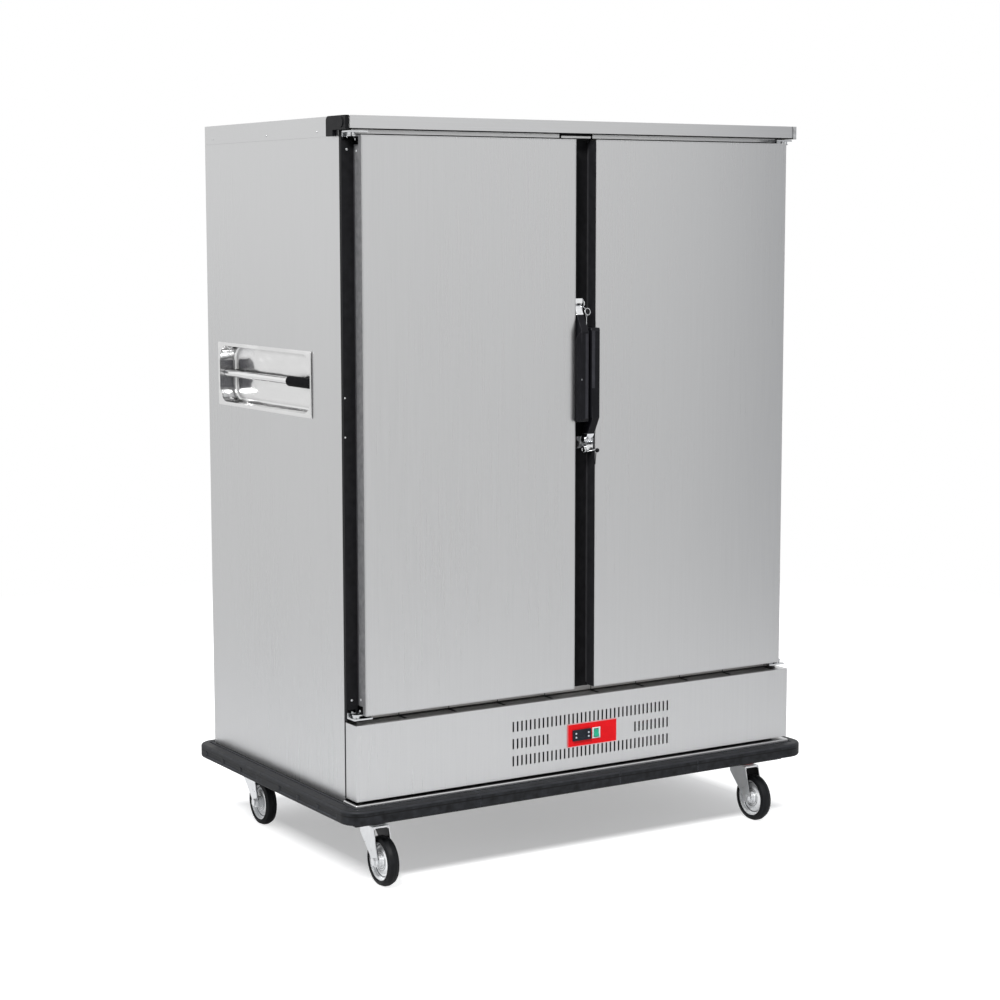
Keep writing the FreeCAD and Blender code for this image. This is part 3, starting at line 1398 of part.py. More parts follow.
def runner(x_wall, sign, level):
    """One angle runner at a compartment wall; sign points into the compartment."""
    rail = Piece("runner")
    near_wall = f"({x_wall} + ({sign}) * upright_thick)"
    inner = f"({near_wall} + ({sign}) * runner_wide)"
    leg = f"({near_wall} + ({sign}) * runner_sheet)"
    z = f"(runner_first + runner_pitch * {level})"
    outline = [
        (near_wall, z),
        (inner, z),
        (inner, f"{z} - runner_sheet"),
        (leg, f"{z} - runner_sheet"),
        (leg, f"{z} - runner_leg"),
        (near_wall, f"{z} - runner_leg"),
    ]
    rail.add("XZ", "-runner_long / 2", "runner_long / 2", outline)
    return rail


def rack_post(x_wall, sign, y):
    """One upright of a runner rack against a compartment wall."""
    post = Piece("rack_post")
    x = sorted((x_wall, f"({x_wall} + ({sign}) * upright_thick)"), key=value)
    post.add("XY", "liner_floor", "liner_ceiling",
             rect(*x, f"{y} - upright_wide / 2", f"{y} + upright_wide / 2"))
    return post


def tray_runners():
    """Runner racks on both walls of the left compartment, and their mirror images."""
    pieces = []
    for x_wall, sign in ((f"-{INNER}", 1), ("-duct_width / 2", -1)):
        for y in ("-upright_reach", "upright_reach"):
            pieces.append(rack_post(x_wall, sign, y))
        for level in range(int(value("runner_count"))):
            pieces.append(runner(x_wall, sign, level))
    return group(pieces + [mirror(piece) for piece in pieces])


# Cooling plant

def evaporator():
    """Finned coil inside the duct."""
    coil = Piece("evaporator")
    half = "(evaporator_thick / 2)"
    low, high = ("-evaporator_long / 2", "evaporator_long / 2")
    top = "(evaporator_base + evaporator_high)"
    coil.add("XY", "evaporator_base", top, rect(f"-{half}", half, low, high))
    start = f"{low} + coil_end"
    fins = coil.cut("XY", "evaporator_base", top,
                    rect(f"-{half}", "-coil_core / 2", start, f"{start} + coil_slot"),
                    rect("coil_core / 2", half, start, f"{start} + coil_slot"))
    coil.row(fins, "V_Axis", "evaporator_fins", "coil_pitch")
    # Feet seat the coil on the liner's floor.
    coil.add("XY", "liner_floor", "evaporator_base",
             rect(f"-{half}", half, low, f"{low} + coil_end"),
             rect(f"-{half}", half, f"{high} - coil_end", high))
    return coil


def condenser():
    """Finned coil behind the air slots of the control panel."""
    coil = Piece("condenser")
    front, back = ("-condenser_reach", "-condenser_reach + condenser_thick")
    low, high = ("vent_middle - condenser_long / 2", "vent_middle + condenser_long / 2")
    top = f"({FLOOR} + condenser_high)"
    coil.add("XY", FLOOR, top, rect(low, high, front, back))
    start = f"{low} + coil_end"
    core = f"(-condenser_reach + condenser_thick / 2)"
    fins = coil.cut("XY", FLOOR, top,
                    rect(start, f"{start} + coil_slot", front, f"{core} - coil_core / 2"),
                    rect(start, f"{start} + coil_slot", f"{core} + coil_core / 2", back))
    coil.row(fins, "H_Axis", "19", "coil_pitch")
    return coil


FAN_Y = "(-condenser_reach + condenser_thick + shroud_gap + shroud_depth / 2)"
FAN_Z = f"({FLOOR} + condenser_high / 2)"


def condenser_fan_shroud():
    """Fan shroud behind the condenser, with the motor on a bracket."""
    shroud = Piece("condenser_fan_shroud")
    front = "(-condenser_reach + condenser_thick)"
    back = f"({front} + shroud_gap + shroud_depth)"
    half = "(fan_radius + shroud_wall)"
    x = "vent_middle"
    left, right = (f"{x} - {half}", f"{x} + {half}")
    low, high = (f"{FAN_Z} - strut_thick / 2", f"{FAN_Z} + strut_thick / 2")
    top = f"({FLOOR} + condenser_high)"
    shroud.add("XZ", front, back, rect(left, right, FLOOR, top))
    shroud.cut("XZ", front, back, disc(x, FAN_Z, "fan_radius + shroud_gap"))
    motor_front = f"({FAN_Y} + fan_depth / 2 + motor_gap)"
    strut_end = f"({motor_front} + strut_back)"
    for inner, outer in ((left, f"{left} + strut_wide"), (f"{right} - strut_wide", right)):
        shroud.add("XZ", back, strut_end, rect(inner, outer, low, high))
    shroud.add("XZ", f"{strut_end} - strap_sheet", strut_end, rect(left, right, low, high))
    shroud.add("XZ", motor_front, f"{motor_front} + motor_long", disc(x, FAN_Z, "motor_radius"))
    shroud.add("XZ", FAN_Y, motor_front, disc(x, FAN_Z, "fan_shaft"))
    return shroud


def evaporator_fan_mount():
    """Fan ring across the duct above the coil, with the motor on a bar over it."""
    mount = Piece("evaporator_fan_mount")
    half = "(duct_width / 2 - duct_sheet)"
    base = "evap_fan_height"
    top = f"({base} + evap_mount_deep)"
    mount.add("XY", base, top, rect(f"-{half}", half, f"-{half}", half))
    mount.cut("XY", base, top, disc("0", "0", "evap_fan_radius + shroud_gap"))
    strap = rect(f"-{half}", half, "-strut_thick / 2", "strut_thick / 2")
    mount.add("XY", top, f"{top} + strap_sheet", strap)
    mount.add("XY", top, f"{top} + evap_motor_long", disc("0", "0", "evap_motor_radius"))
    mount.add("XY", f"{base} + evap_mount_deep / 2", top, disc("0", "0", "fan_shaft"))
    return mount


def fan(radius, hub, depth):
    """Axial fan about the Y axis: hub, blind bore for the shaft and lofted twisted blades."""
    wheel = Piece("fan")
    half = f"({depth} / 2)"
    wheel.add("XZ", f"-{half}", half, disc("0", "0", hub))
    root = wheel.sketch("XY", f"{hub} * 0.7", [blade_section(f"{hub} * 0.5", f"{half} * 0.8")])
    tip = wheel.sketch("XY", radius, [blade_section(f"{radius} * 0.42", f"{half} * 0.45")])
    blade = wheel.body.newObject("PartDesign::AdditiveLoft", "blade")
    blade.Profile = root
    blade.Sections = [tip]
    blade.Ruled = True
    doc.recompute()
    axis = [item for item in wheel.body.Origin.OriginFeatures if item.Role == "Y_Axis"][0]
    blades = wheel.body.newObject("PartDesign::PolarPattern", "blades")
    blades.Originals = [blade]
    blades.Axis = (axis, [""])
    blades.Angle = 360
    blades.setExpression("Occurrences", bound("fan_blades"))
    wheel.body.Tip = blades
    doc.recompute()
    # The blade tips are trimmed to the fan's circle.
    wheel.cut("XZ", f"-{half}", half, disc("0", "0", f"{radius} * 1.3"), disc("0", "0", radius))
    wheel.cut("XZ", "-running_fit", half, disc("0", "0", "fan_shaft + running_fit"))
    return wheel


def blade_section(chord, rise):
    """Slanted thin section of a fan blade."""
    return [(f"-{chord}", f"-{rise}"), (f"-{chord} + blade_thick", f"-{rise}"),
            (chord, rise), (f"{chord} - blade_thick", rise)]


def compressor():
    """Hermetic compressor: welded can on a foot plate with grommets, cover and two ports."""
    can = Piece("compressor")
    foot = "compressor_foot"
    top = f"({foot} + compressor_high)"
    radius = "compressor_radius"
    wall = f"({radius} * 0.96)"
    seam_low = f"({foot} + seam_lift)"
    seam_top = f"({seam_low} + seam_width)"
    can.spin("XZ", "V_Axis", [
        ("0", foot), (f"{radius} * 0.8", foot), (wall, f"{foot} + can_base"),
        (wall, seam_low), (radius, seam_low), (radius, seam_top),
        (wall, seam_top), (f"{radius} * 0.94", f"{foot} + can_shoulder"),
        (f"{radius} * 0.7", f"{top} - dome_drop"), (f"{radius} * 0.3", top), ("0", top)])
    reach = f"({radius} + foot_margin)"
    can.add("XY", f"{foot} - foot_plate", foot, rect(f"-{reach}", reach, f"-{radius}", radius))
    near_end = f"({radius} - grommet_inset)"
    for x in (f"-{reach} + grommet_inset", f"{reach} - grommet_inset"):
        feet = [disc(x, y, "grommet_radius") for y in (f"-{near_end}", near_end)]
        can.add("XY", "0", f"{foot} - foot_plate", *feet)
    can.add("YZ", f"{radius} * 0.85", f"{radius} + cover_out",
            rect("-cover_wide / 2", "cover_wide / 2", f"{foot} + cover_low", f"{foot} + cover_high"))
    ports = [disc(x, f"{foot} + port_height", "pipe_radius + port_wall") for x in ("-port_side", "port_side")]
    can.add("XZ", f"-({radius} + port_reach)", f"-{radius} * 0.7", *ports)
    return can.place("-compressor_x", "compressor_y", FLOOR)


def pipe(points):
    """A copper pipe through straight runs with tangent bends."""
    corners = [FreeCAD.Vector(*[value(part) for part in point]) for point in points]
    bend = value("pipe_bend")
    edges = []
    start = corners[0]
    for before, here, after in zip(corners, corners[1:], corners[2:]):
        back = (before - here).normalize()
        ahead = (after - here).normalize()
        reach = bend / math.tan(back.getAngle(ahead) / 2)
        inward = (back + ahead).normalize()
        middle = here + inward * (math.hypot(reach, bend) - bend)
        edges.append(Part.LineSegment(start, here + back * reach).toShape())
        edges.append(Part.Arc(here + back * reach, middle, here + ahead * reach).toShape())
        start = here + ahead * reach
    edges.append(Part.LineSegment(start, corners[-1]).toShape())
    heading = (corners[1] - corners[0]).normalize()
    section = Part.Wire([Part.Circle(corners[0], heading, value("pipe_radius")).toShape()])
    feature = doc.addObject("Part::Feature", "pipe")
    feature.Shape = Part.Wire(edges).makePipeShell([section], True, False)
    return feature


def refrigerant_pipes():
    """Discharge, suction and liquid lines between compressor, condenser and evaporator."""
    port_y = "(compressor_y - compressor_radius - port_reach)"
    port_z = f"({FLOOR} + compressor_foot + port_height)"
    coil_y = "(-condenser_reach + condenser_thick / 2)"
    left = "(vent_middle - condenser_long / 2)"
    right = "(vent_middle + condenser_long / 2)"
    hot_x = "(-compressor_x - port_side)"
    cold_x = "(-compressor_x + port_side)"
    coil_end = "(evaporator_long / 2)"
    rise = "(pipe_hole / 2)"
    discharge = [(hot_x, port_y, port_z), (hot_x, coil_y, port_z), (left, coil_y, port_z)]
    suction = [
        (cold_x, port_y, port_z),
        (cold_x, f"{port_y} - suction_run", port_z),
        (f"-{rise}", f"{port_y} - suction_run", port_z),
        (f"-{rise}", "pipe_hole_y", port_z),
        (f"-{rise}", "pipe_hole_y", "evaporator_base + suction_height"),
        (f"-{rise}", coil_end, "evaporator_base + suction_height"),
    ]
    liquid = [
        (right, coil_y, port_z),
        (f"{right} + liquid_run", coil_y, port_z),
        (f"{right} + liquid_run", "pipe_hole_y", port_z),
        (rise, "pipe_hole_y", port_z),
        (rise, "pipe_hole_y", "evaporator_base + liquid_height"),
        (rise, coil_end, "evaporator_base + liquid_height"),
    ]
    return group([pipe(discharge), pipe(suction), pipe(liquid)])


# Assembly

node("base_frame", base_frame())
node("base_tray", base_tray())
node("bumper", bumpers())
node("caster_plates", caster_plates())
for label, x, y in (("front_left", "-caster_x", "-caster_y"), ("front_right", "caster_x", "-caster_y"),
                    ("rear_left", "-caster_x", "caster_y"), ("rear_right", "caster_x", "caster_y")):
    caster(label, x, y)

node("side_panel_left", side_panel())
node("side_panel_right", mirror(nodes["side_panel_left"]))
node("rear_panel", rear_panel())
node("top_panel", top_panel())
node("insulation", insulation())
node("inner_liner", inner_liner())
node("front_frame", front_frame())

pan = handle_recess()
bar = push_bar()
node("handle_recesses", group([pan, bar, mirror(pan), mirror(bar)]))
grip = bar_grip()
node("bar_grips", group([grip, mirror(grip)]))
guard = corner_guard()
node("corner_guards", group([guard, mirror(guard)]))

node("control_panel", control_panel())
node("control_plate", control_plate())
node("controller", controller())
for column, side in (("left", -1), ("right", 1)):
    for row, lift in (("top", 1), ("bottom", -1)):
        node(f"key_{column}_{row}", controller_key(side, lift))
node("rocker_housing", rocker_housing())
node("rocker", rocker())

node("hinge_brackets", hinge_brackets())
for name, maker in (("door_skin", door_skin), ("door_liner", door_liner), ("door_gasket", door_gasket),
                    ("hinge_arms", hinge_arms)):
    left_piece = node(f"{name}_left", maker())
    node(f"{name}_right", mirror(left_piece))
for name, maker in (("latch_bracket", latch_bracket), ("latch_lever", latch_lever)):
    node(f"{name}_left", maker())
    node(f"{name}_right", half_turn(maker()))
node("lock_pin_left", lock_pin(-1))
node("lock_pin_right", half_turn(lock_pin(1)))
node("latch_keepers", group([latch_keeper(), half_turn(latch_keeper())]))

node("centre_duct", centre_duct())
node("tray_runners", tray_runners())
node("finned_coils", group([condenser(), evaporator()]))
node("condenser_fan_shroud", condenser_fan_shroud())
node("condenser_fan", fan("fan_radius", "fan_hub", "fan_depth").place("vent_middle", FAN_Y, FAN_Z))
node("evaporator_fan_mount", evaporator_fan_mount())
duct_fan = fan("evap_fan_radius", "evap_fan_hub", "evap_fan_depth")
duct_fan.body.Placement.Rotation = FreeCAD.Rotation(FreeCAD.Vector(1, 0, 0), 90)
node("evaporator_fan", duct_fan.place("0", "0", "evap_fan_height + evap_mount_deep / 2"))
node("compressor", compressor())
node("refrigerant_pipes", refrigerant_pipes())
doc.recompute()

# Check every object, then write one file for each node
for item in doc.Objects:
    if any(word in item.State for word in ("Invalid", "Error")):
        raise RuntimeError(f"{item.Label} did not build: {item.State}")
os.makedirs("parts", exist_ok=True)
# The bumper stands out further at the front, so the middle of the whole cart lies ahead of the cabinet's.
middle = FreeCAD.Vector(0, value(f"({BUMPER_FRONT} - {BUMPER_REAR}) / 2"), 0)
for label, item in nodes.items():
    shape = item.Shape
    if shape.isNull() or not shape.isValid() or not shape.Solids:
        raise RuntimeError(f"{label} has no valid solid")
    shape.translated(middle).exportStep(f"parts/{label}.step")
print(len(nodes), "nodes written")
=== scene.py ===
import itertools
import json
import math

import bpy
from mathutils import Matrix, Vector


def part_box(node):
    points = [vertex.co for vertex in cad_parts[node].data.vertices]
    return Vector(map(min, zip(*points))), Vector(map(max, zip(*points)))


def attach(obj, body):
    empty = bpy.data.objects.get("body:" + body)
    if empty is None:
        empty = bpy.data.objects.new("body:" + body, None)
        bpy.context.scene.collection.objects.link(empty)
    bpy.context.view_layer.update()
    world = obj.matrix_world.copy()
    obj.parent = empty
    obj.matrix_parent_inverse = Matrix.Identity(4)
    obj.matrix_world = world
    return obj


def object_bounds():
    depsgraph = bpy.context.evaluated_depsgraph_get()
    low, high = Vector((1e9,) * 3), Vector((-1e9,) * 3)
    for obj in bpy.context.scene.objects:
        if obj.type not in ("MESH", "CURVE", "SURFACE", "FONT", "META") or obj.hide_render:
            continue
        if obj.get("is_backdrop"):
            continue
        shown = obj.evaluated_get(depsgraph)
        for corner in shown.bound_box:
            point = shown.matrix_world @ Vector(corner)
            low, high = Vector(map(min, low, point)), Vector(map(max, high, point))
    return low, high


# Looks of the cold banquet cart: finishes for every piece, small trim, studio and camera.
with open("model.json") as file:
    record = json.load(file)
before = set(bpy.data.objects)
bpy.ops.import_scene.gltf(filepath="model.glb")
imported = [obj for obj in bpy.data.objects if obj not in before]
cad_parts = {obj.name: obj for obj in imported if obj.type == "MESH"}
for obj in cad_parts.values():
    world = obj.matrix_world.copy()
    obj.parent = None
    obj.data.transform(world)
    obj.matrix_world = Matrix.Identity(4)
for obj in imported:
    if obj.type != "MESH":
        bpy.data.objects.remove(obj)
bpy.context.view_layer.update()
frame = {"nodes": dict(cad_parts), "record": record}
nodes = frame["nodes"]

# Places and sizes on the cart are millimetres about the cabinet's middle plane.
# The shared frame's origin lies ahead of that plane.
MM_PER_METRE = 1000
FRAME_FACE = -360
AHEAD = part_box("front_frame")[0][1] * MM_PER_METRE - FRAME_FACE
SIDES = {"left": -1, "right": 1}


def at(x, y, z):
    """A point given in millimetres about the cabinet's middle plane, in the shared frame's metres."""
    return Vector((x / MM_PER_METRE, (y + AHEAD) / MM_PER_METRE, z / MM_PER_METRE))


# Materials

WHITE = (1, 1, 1)
BLACK = (0, 0, 0)
# Noise lies mostly between these values.
NOISE_LOW = 0.3
NOISE_HIGH = 0.7
# Noise scales, in waves for each metre: an even one, and how much finer the bumps are
EVEN_SCALE = 60
BUMP_FINER = 8
# Heights of the fine bumps and of the slow waves in drawn sheet, in metres
PLAIN_BUMP = 0.0004
BRUSHED_BUMP = 0.0002
WAVE_BUMP = 0.006
# Width of the soft step between two finishes on one piece, in metres
STEP = 0.0004
# Share of the broad clouds in brushed steel; the fine grain has the rest
CLOUD_SHARE = 0.45
CLOUD_SCALE = (1.3, 1.3, 0.8)
WAVE_SCALE = (22, 14, 22)
# Likeness of the rounded normal to the flat one where an edge is fully worn, and where the wear begins
WORN_FULL = 0.8
WORN_NONE = 0.99
# Openness where the painted shade in a hollow is full, and where it begins
HOLLOW_SHADE_FULL = 0.3
HOLLOW_SHADE_NONE = 0.75
# Brightness of the painted shade in hollows, as shares of the colour
HOLLOW_SHADE_SHARES = (0.10, 0.16)


class Graph:
    """The node tree of a material or a world, with short ways to add and feed its nodes."""

    def __init__(self, owner):
        owner.use_nodes = True
        self.tree = owner.node_tree
        self.tree.nodes.clear()

    def add(self, kind, **settings):
        """A new node with its settings."""
        node = self.tree.nodes.new(kind)
        for key, value in settings.items():
            setattr(node, key, value)
        return node

    def feed(self, socket, value):
        """Joins a socket to another node's output, or gives it a fixed value."""
        if isinstance(value, bpy.types.NodeSocket):
            self.tree.links.new(value, socket)
        else:
            socket.default_value = value

    def number(self, operation, *values, clamp=False):
        """One step of arithmetic with numbers."""
        node = self.add("ShaderNodeMath", operation=operation, use_clamp=clamp)
        for socket, value in zip(node.inputs, values):
            self.feed(socket, value)
        return node.outputs["Value"]

    def vector(self, operation, *values, result="Vector"):
        """One step of arithmetic with vectors."""
        node = self.add("ShaderNodeVectorMath", operation=operation)
        for socket, value in zip(node.inputs, values):
            self.feed(socket, value)
        return node.outputs[result]


class Finish(Graph):
    """A procedural material with one principled shader."""

    def __init__(self, name):
        self.material = bpy.data.materials.new(name)
        super().__init__(self.material)
        output = self.add("ShaderNodeOutputMaterial")
        self.shader = self.add("ShaderNodeBsdfPrincipled")
        self.feed(output.inputs["Surface"], self.shader.outputs["BSDF"])
        self.place = self.add("ShaderNodeTexCoord").outputs["Object"]

    def give(self, name, value):
        """Feeds one of the shader's own sockets."""
        self.feed(self.shader.inputs[name], value)

    def given(self, name):
        """What is joined to one of the shader's own sockets so far."""
        return self.shader.inputs[name].links[0].from_socket

    def noise(self, scale, detail=4.0):
        """Noise over the piece's own coordinates, stretched by a scale per axis."""
        mapping = self.add("ShaderNodeMapping")
        self.feed(mapping.inputs["Scale"], scale)
        self.feed(mapping.inputs["Vector"], self.place)
        texture = self.add("ShaderNodeTexNoise")
        self.feed(texture.inputs["Scale"], 1.0)
        self.feed(texture.inputs["Detail"], detail)
        self.feed(texture.inputs["Vector"], mapping.outputs["Vector"])
        return texture.outputs["Fac"]

    def even_noise(self, scale=EVEN_SCALE):
        """Noise with the same scale along every axis."""
        return self.noise((scale, scale, scale))

    def ramp(self, source, first, second, start=NOISE_LOW, end=NOISE_HIGH):
        """A colour that goes from one to another as a value rises."""
        node = self.add("ShaderNodeValToRGB")
        stops = ((start, first), (end, second))
        for element, (position, colour) in zip(node.color_ramp.elements, stops):
            element.position = position
            element.color = (*colour, 1.0)
        self.feed(node.inputs["Fac"], source)
        return node.outputs["Color"]

    def mottle(self, source, colour, vary):
        """A colour that varies by a share either way."""
        return self.ramp(source, shaded(colour, 1 - vary), shaded(colour, 1 + vary))

    def spread(self, source, low, high, start=NOISE_LOW, end=NOISE_HIGH):
        """A value mapped from one range to another, held at its ends."""
        node = self.add("ShaderNodeMapRange")
        self.feed(node.inputs["Value"], source)
        self.feed(node.inputs["From Min"], start)
        self.feed(node.inputs["From Max"], end)
        self.feed(node.inputs["To Min"], low)
        self.feed(node.inputs["To Max"], high)
        return node.outputs["Result"]

    def roughen(self, source, rough, least, most):
        """Roughness that varies between two shares of a given one."""
        self.give("Roughness", self.spread(source, rough * least, rough * most))

    def blend(self, factor, first, second):
        """A colour between two others."""
        node = self.add("ShaderNodeMix", data_type="RGBA")
        self.feed(node.inputs["Factor"], factor)
        self.feed(node.inputs["A"], first)
        self.feed(node.inputs["B"], second)
        return node.outputs["Result"]

    def bumps(self, source, strength, distance, normal):
        """Bumps laid over a normal."""
        node = self.add("ShaderNodeBump")
        self.feed(node.inputs["Strength"], strength)
        self.feed(node.inputs["Distance"], distance)
        self.feed(node.inputs["Height"], source)
        self.feed(node.inputs["Normal"], normal)
        self.give("Normal", node.outputs["Normal"])

    def relief(self, source, strength, distance, edge):
        """Fine bumps over softly rounded edges. Returns the rounded normal."""
        bevel = self.add("ShaderNodeBevel", samples=4)
        self.feed(bevel.inputs["Radius"], edge)
        rounded_normal = bevel.outputs["Normal"]
        self.bumps(source, strength, distance, rounded_normal)
        return rounded_normal

    def edges(self, rounded_normal):
        """A value that rises from 0 on flat faces to 1 along worn edges."""
        flat_normal = self.add("ShaderNodeNewGeometry").outputs["Normal"]
        likeness = self.vector("DOT_PRODUCT", rounded_normal, flat_normal, result="Value")
        return self.spread(likeness, 1.0, 0.0, start=WORN_FULL, end=WORN_NONE)

    def painted_hollow_shade(self, reach):
        """Painted shade: a value that rises from 0 in the open to 1 in hollows and close behind other
        pieces.
        """
        node = self.add("ShaderNodeAmbientOcclusion", samples=8)
        self.feed(node.inputs["Distance"], reach)
        return self.spread(node.outputs["AO"], 1.0, 0.0, start=HOLLOW_SHADE_FULL, end=HOLLOW_SHADE_NONE)

    def box_gap(self, middle, half):
        """Distance outside a box in the piece's own coordinates; 0 inside it."""
        offset = self.vector("SUBTRACT", self.place, middle)
        beyond = self.vector("SUBTRACT", self.vector("ABSOLUTE", offset), half)
        outside = self.vector("MAXIMUM", beyond, (0, 0, 0))
        return self.vector("LENGTH", outside, result="Value")

    def recolour(self, node, low, high, colour, metal=None):
        """Another colour, and metal where given, inside a box in millimetres for the piece at rest."""
        inward = node.matrix_world.inverted()
        first = inward @ at(*low)
        last = inward @ at(*high)
        half = [abs(reach) / 2 for reach in last - first]
        gap = self.box_gap((first + last) / 2, half)
        inside = self.spread(gap, 1.0, 0.0, start=0.0, end=STEP)
        mottled = self.mottle(self.even_noise(), colour, vary=0.2)
        self.give("Base Color", self.blend(inside, self.given("Base Color"), mottled))
        if metal is not None:
            elsewhere = self.shader.inputs["Metallic"].default_value
            self.give("Metallic", self.spread(inside, elsewhere, metal, start=0.0, end=1.0))


def shaded(colour, factor):
    """A colour made lighter or darker."""
    return tuple(min(1.0, channel * factor) for channel in colour)


def plain(name, colour, rough, metal=0.0, vary=0.08, scale=EVEN_SCALE, bump=0.05, edge=0.0008, coat=0.0,
          shine=0.5, wear=0.0):
    """A painted, moulded or plated finish with slight unevenness and, with wear, lighter edges."""
    finish = Finish(name)
    grain = finish.even_noise(scale)
    colours = finish.mottle(grain, colour, vary)
    fine_grain = finish.even_noise(scale * BUMP_FINER)
    rounded_normal = finish.relief(fine_grain, bump, PLAIN_BUMP, edge)
    if wear:
        worn = finish.ramp(grain, shaded(colour, 1 + wear * 0.5), shaded(colour, 1 + wear))
        colours = finish.blend(finish.edges(rounded_normal), colours, worn)
    finish.give("Base Color", colours)
    finish.roughen(grain, rough, least=0.85, most=1.15)
    finish.give("Metallic", metal)
    finish.give("Coat Weight", coat)
    finish.give("Specular IOR Level", shine)
    return finish


def brushed(name, colour, rough, grain_scale, vary=0.035, edge=0.0008, hollow_shade_reach=0.0, wave=0.0):
    """Brushed sheet steel: fine grain along one axis, under broad soft clouds, and where given, painted
    shade in hollows.
    """
    finish = Finish(name)
    grain = finish.noise(grain_scale, detail=6.0)
    cloud = finish.noise(CLOUD_SCALE, detail=2.0)
    soft = finish.number("MULTIPLY", cloud, CLOUD_SHARE)
    value = finish.number("MULTIPLY_ADD", grain, 1 - CLOUD_SHARE, soft)
    colours = finish.mottle(value, colour, vary)
    # Painted shade: the colour darkens in hollows and close behind other pieces
    if hollow_shade_reach:
        dark = finish.ramp(value, *(shaded(colour, share) for share in HOLLOW_SHADE_SHARES))
        colours = finish.blend(finish.painted_hollow_shade(hollow_shade_reach), colours, dark)
    finish.give("Base Color", colours)
    finish.roughen(value, rough, least=0.85, most=1.2)
    finish.give("Metallic", 1.0)
    finish.relief(grain, strength=0.06, distance=BRUSHED_BUMP, edge=edge)
    if wave:
        # Slow waves of drawn sheet, laid over the fine grain
        slow = finish.noise(WAVE_SCALE, detail=1.0)
        finish.bumps(slow, wave, WAVE_BUMP, finish.given("Normal"))
    return finish


def lever_finish(name, limit, plated_above):
    """Black lever whose hub end, past a height in the piece's own coordinates, is plated."""
    finish = Finish(name)
    grain = finish.even_noise()
    split = finish.add("ShaderNodeSeparateXYZ")
    finish.feed(split.inputs["Vector"], finish.place)
    fade = STEP if plated_above else -STEP
    plated = finish.spread(split.outputs["Z"], 0.0, 1.0, start=limit - fade, end=limit + fade)
    fine_grain = finish.even_noise(EVEN_SCALE * BUMP_FINER)
    rounded_normal = finish.relief(fine_grain, strength=0.05, distance=PLAIN_BUMP, edge=0.0025)
    body = finish.ramp(grain, (0.0045, 0.0045, 0.006), (0.007, 0.007, 0.009))
    rubbed = finish.ramp(grain, (0.02, 0.02, 0.024), (0.06, 0.06, 0.066))
    black = finish.blend(finish.edges(rounded_normal), body, rubbed)
    silver = finish.ramp(grain, (0.74, 0.75, 0.77), (0.80, 0.81, 0.82))
    finish.give("Base Color", finish.blend(plated, black, silver))
    finish.give("Metallic", plated)
    finish.give("Roughness", finish.spread(plated, low=0.42, high=0.2, start=0.0, end=1.0))
    finish.give("Specular IOR Level", 0.12)
    return finish


# Noise scales of brushed grain: along the height, along the level directions, and along the width
UPRIGHT_GRAIN = (420, 420, 5)
LEVEL_GRAIN = (5, 5, 420)
ACROSS_GRAIN = (5, 420, 420)
STEEL = (0.595, 0.598, 0.602)
PLATED = (0.84, 0.85, 0.86)
BRUSHED_LOOKS = {
    "stainless": dict(colour=STEEL, rough=0.30, grain_scale=UPRIGHT_GRAIN),
    "lid_steel": dict(colour=STEEL, rough=0.32, grain_scale=ACROSS_GRAIN, vary=0.05),
    # Polished steel gets painted shade in its hollows
    "polished_steel": dict(colour=(0.80, 0.80, 0.80), rough=0.15, grain_scale=LEVEL_GRAIN, vary=0.02,
                           hollow_shade_reach=0.034, wave=0.5),
    "bright_steel": dict(colour=(0.74, 0.74, 0.74), rough=0.16, grain_scale=LEVEL_GRAIN, vary=0.02),
    "sill_steel": dict(colour=(0.36, 0.355, 0.35), rough=0.35, grain_scale=LEVEL_GRAIN, vary=0.2),
}
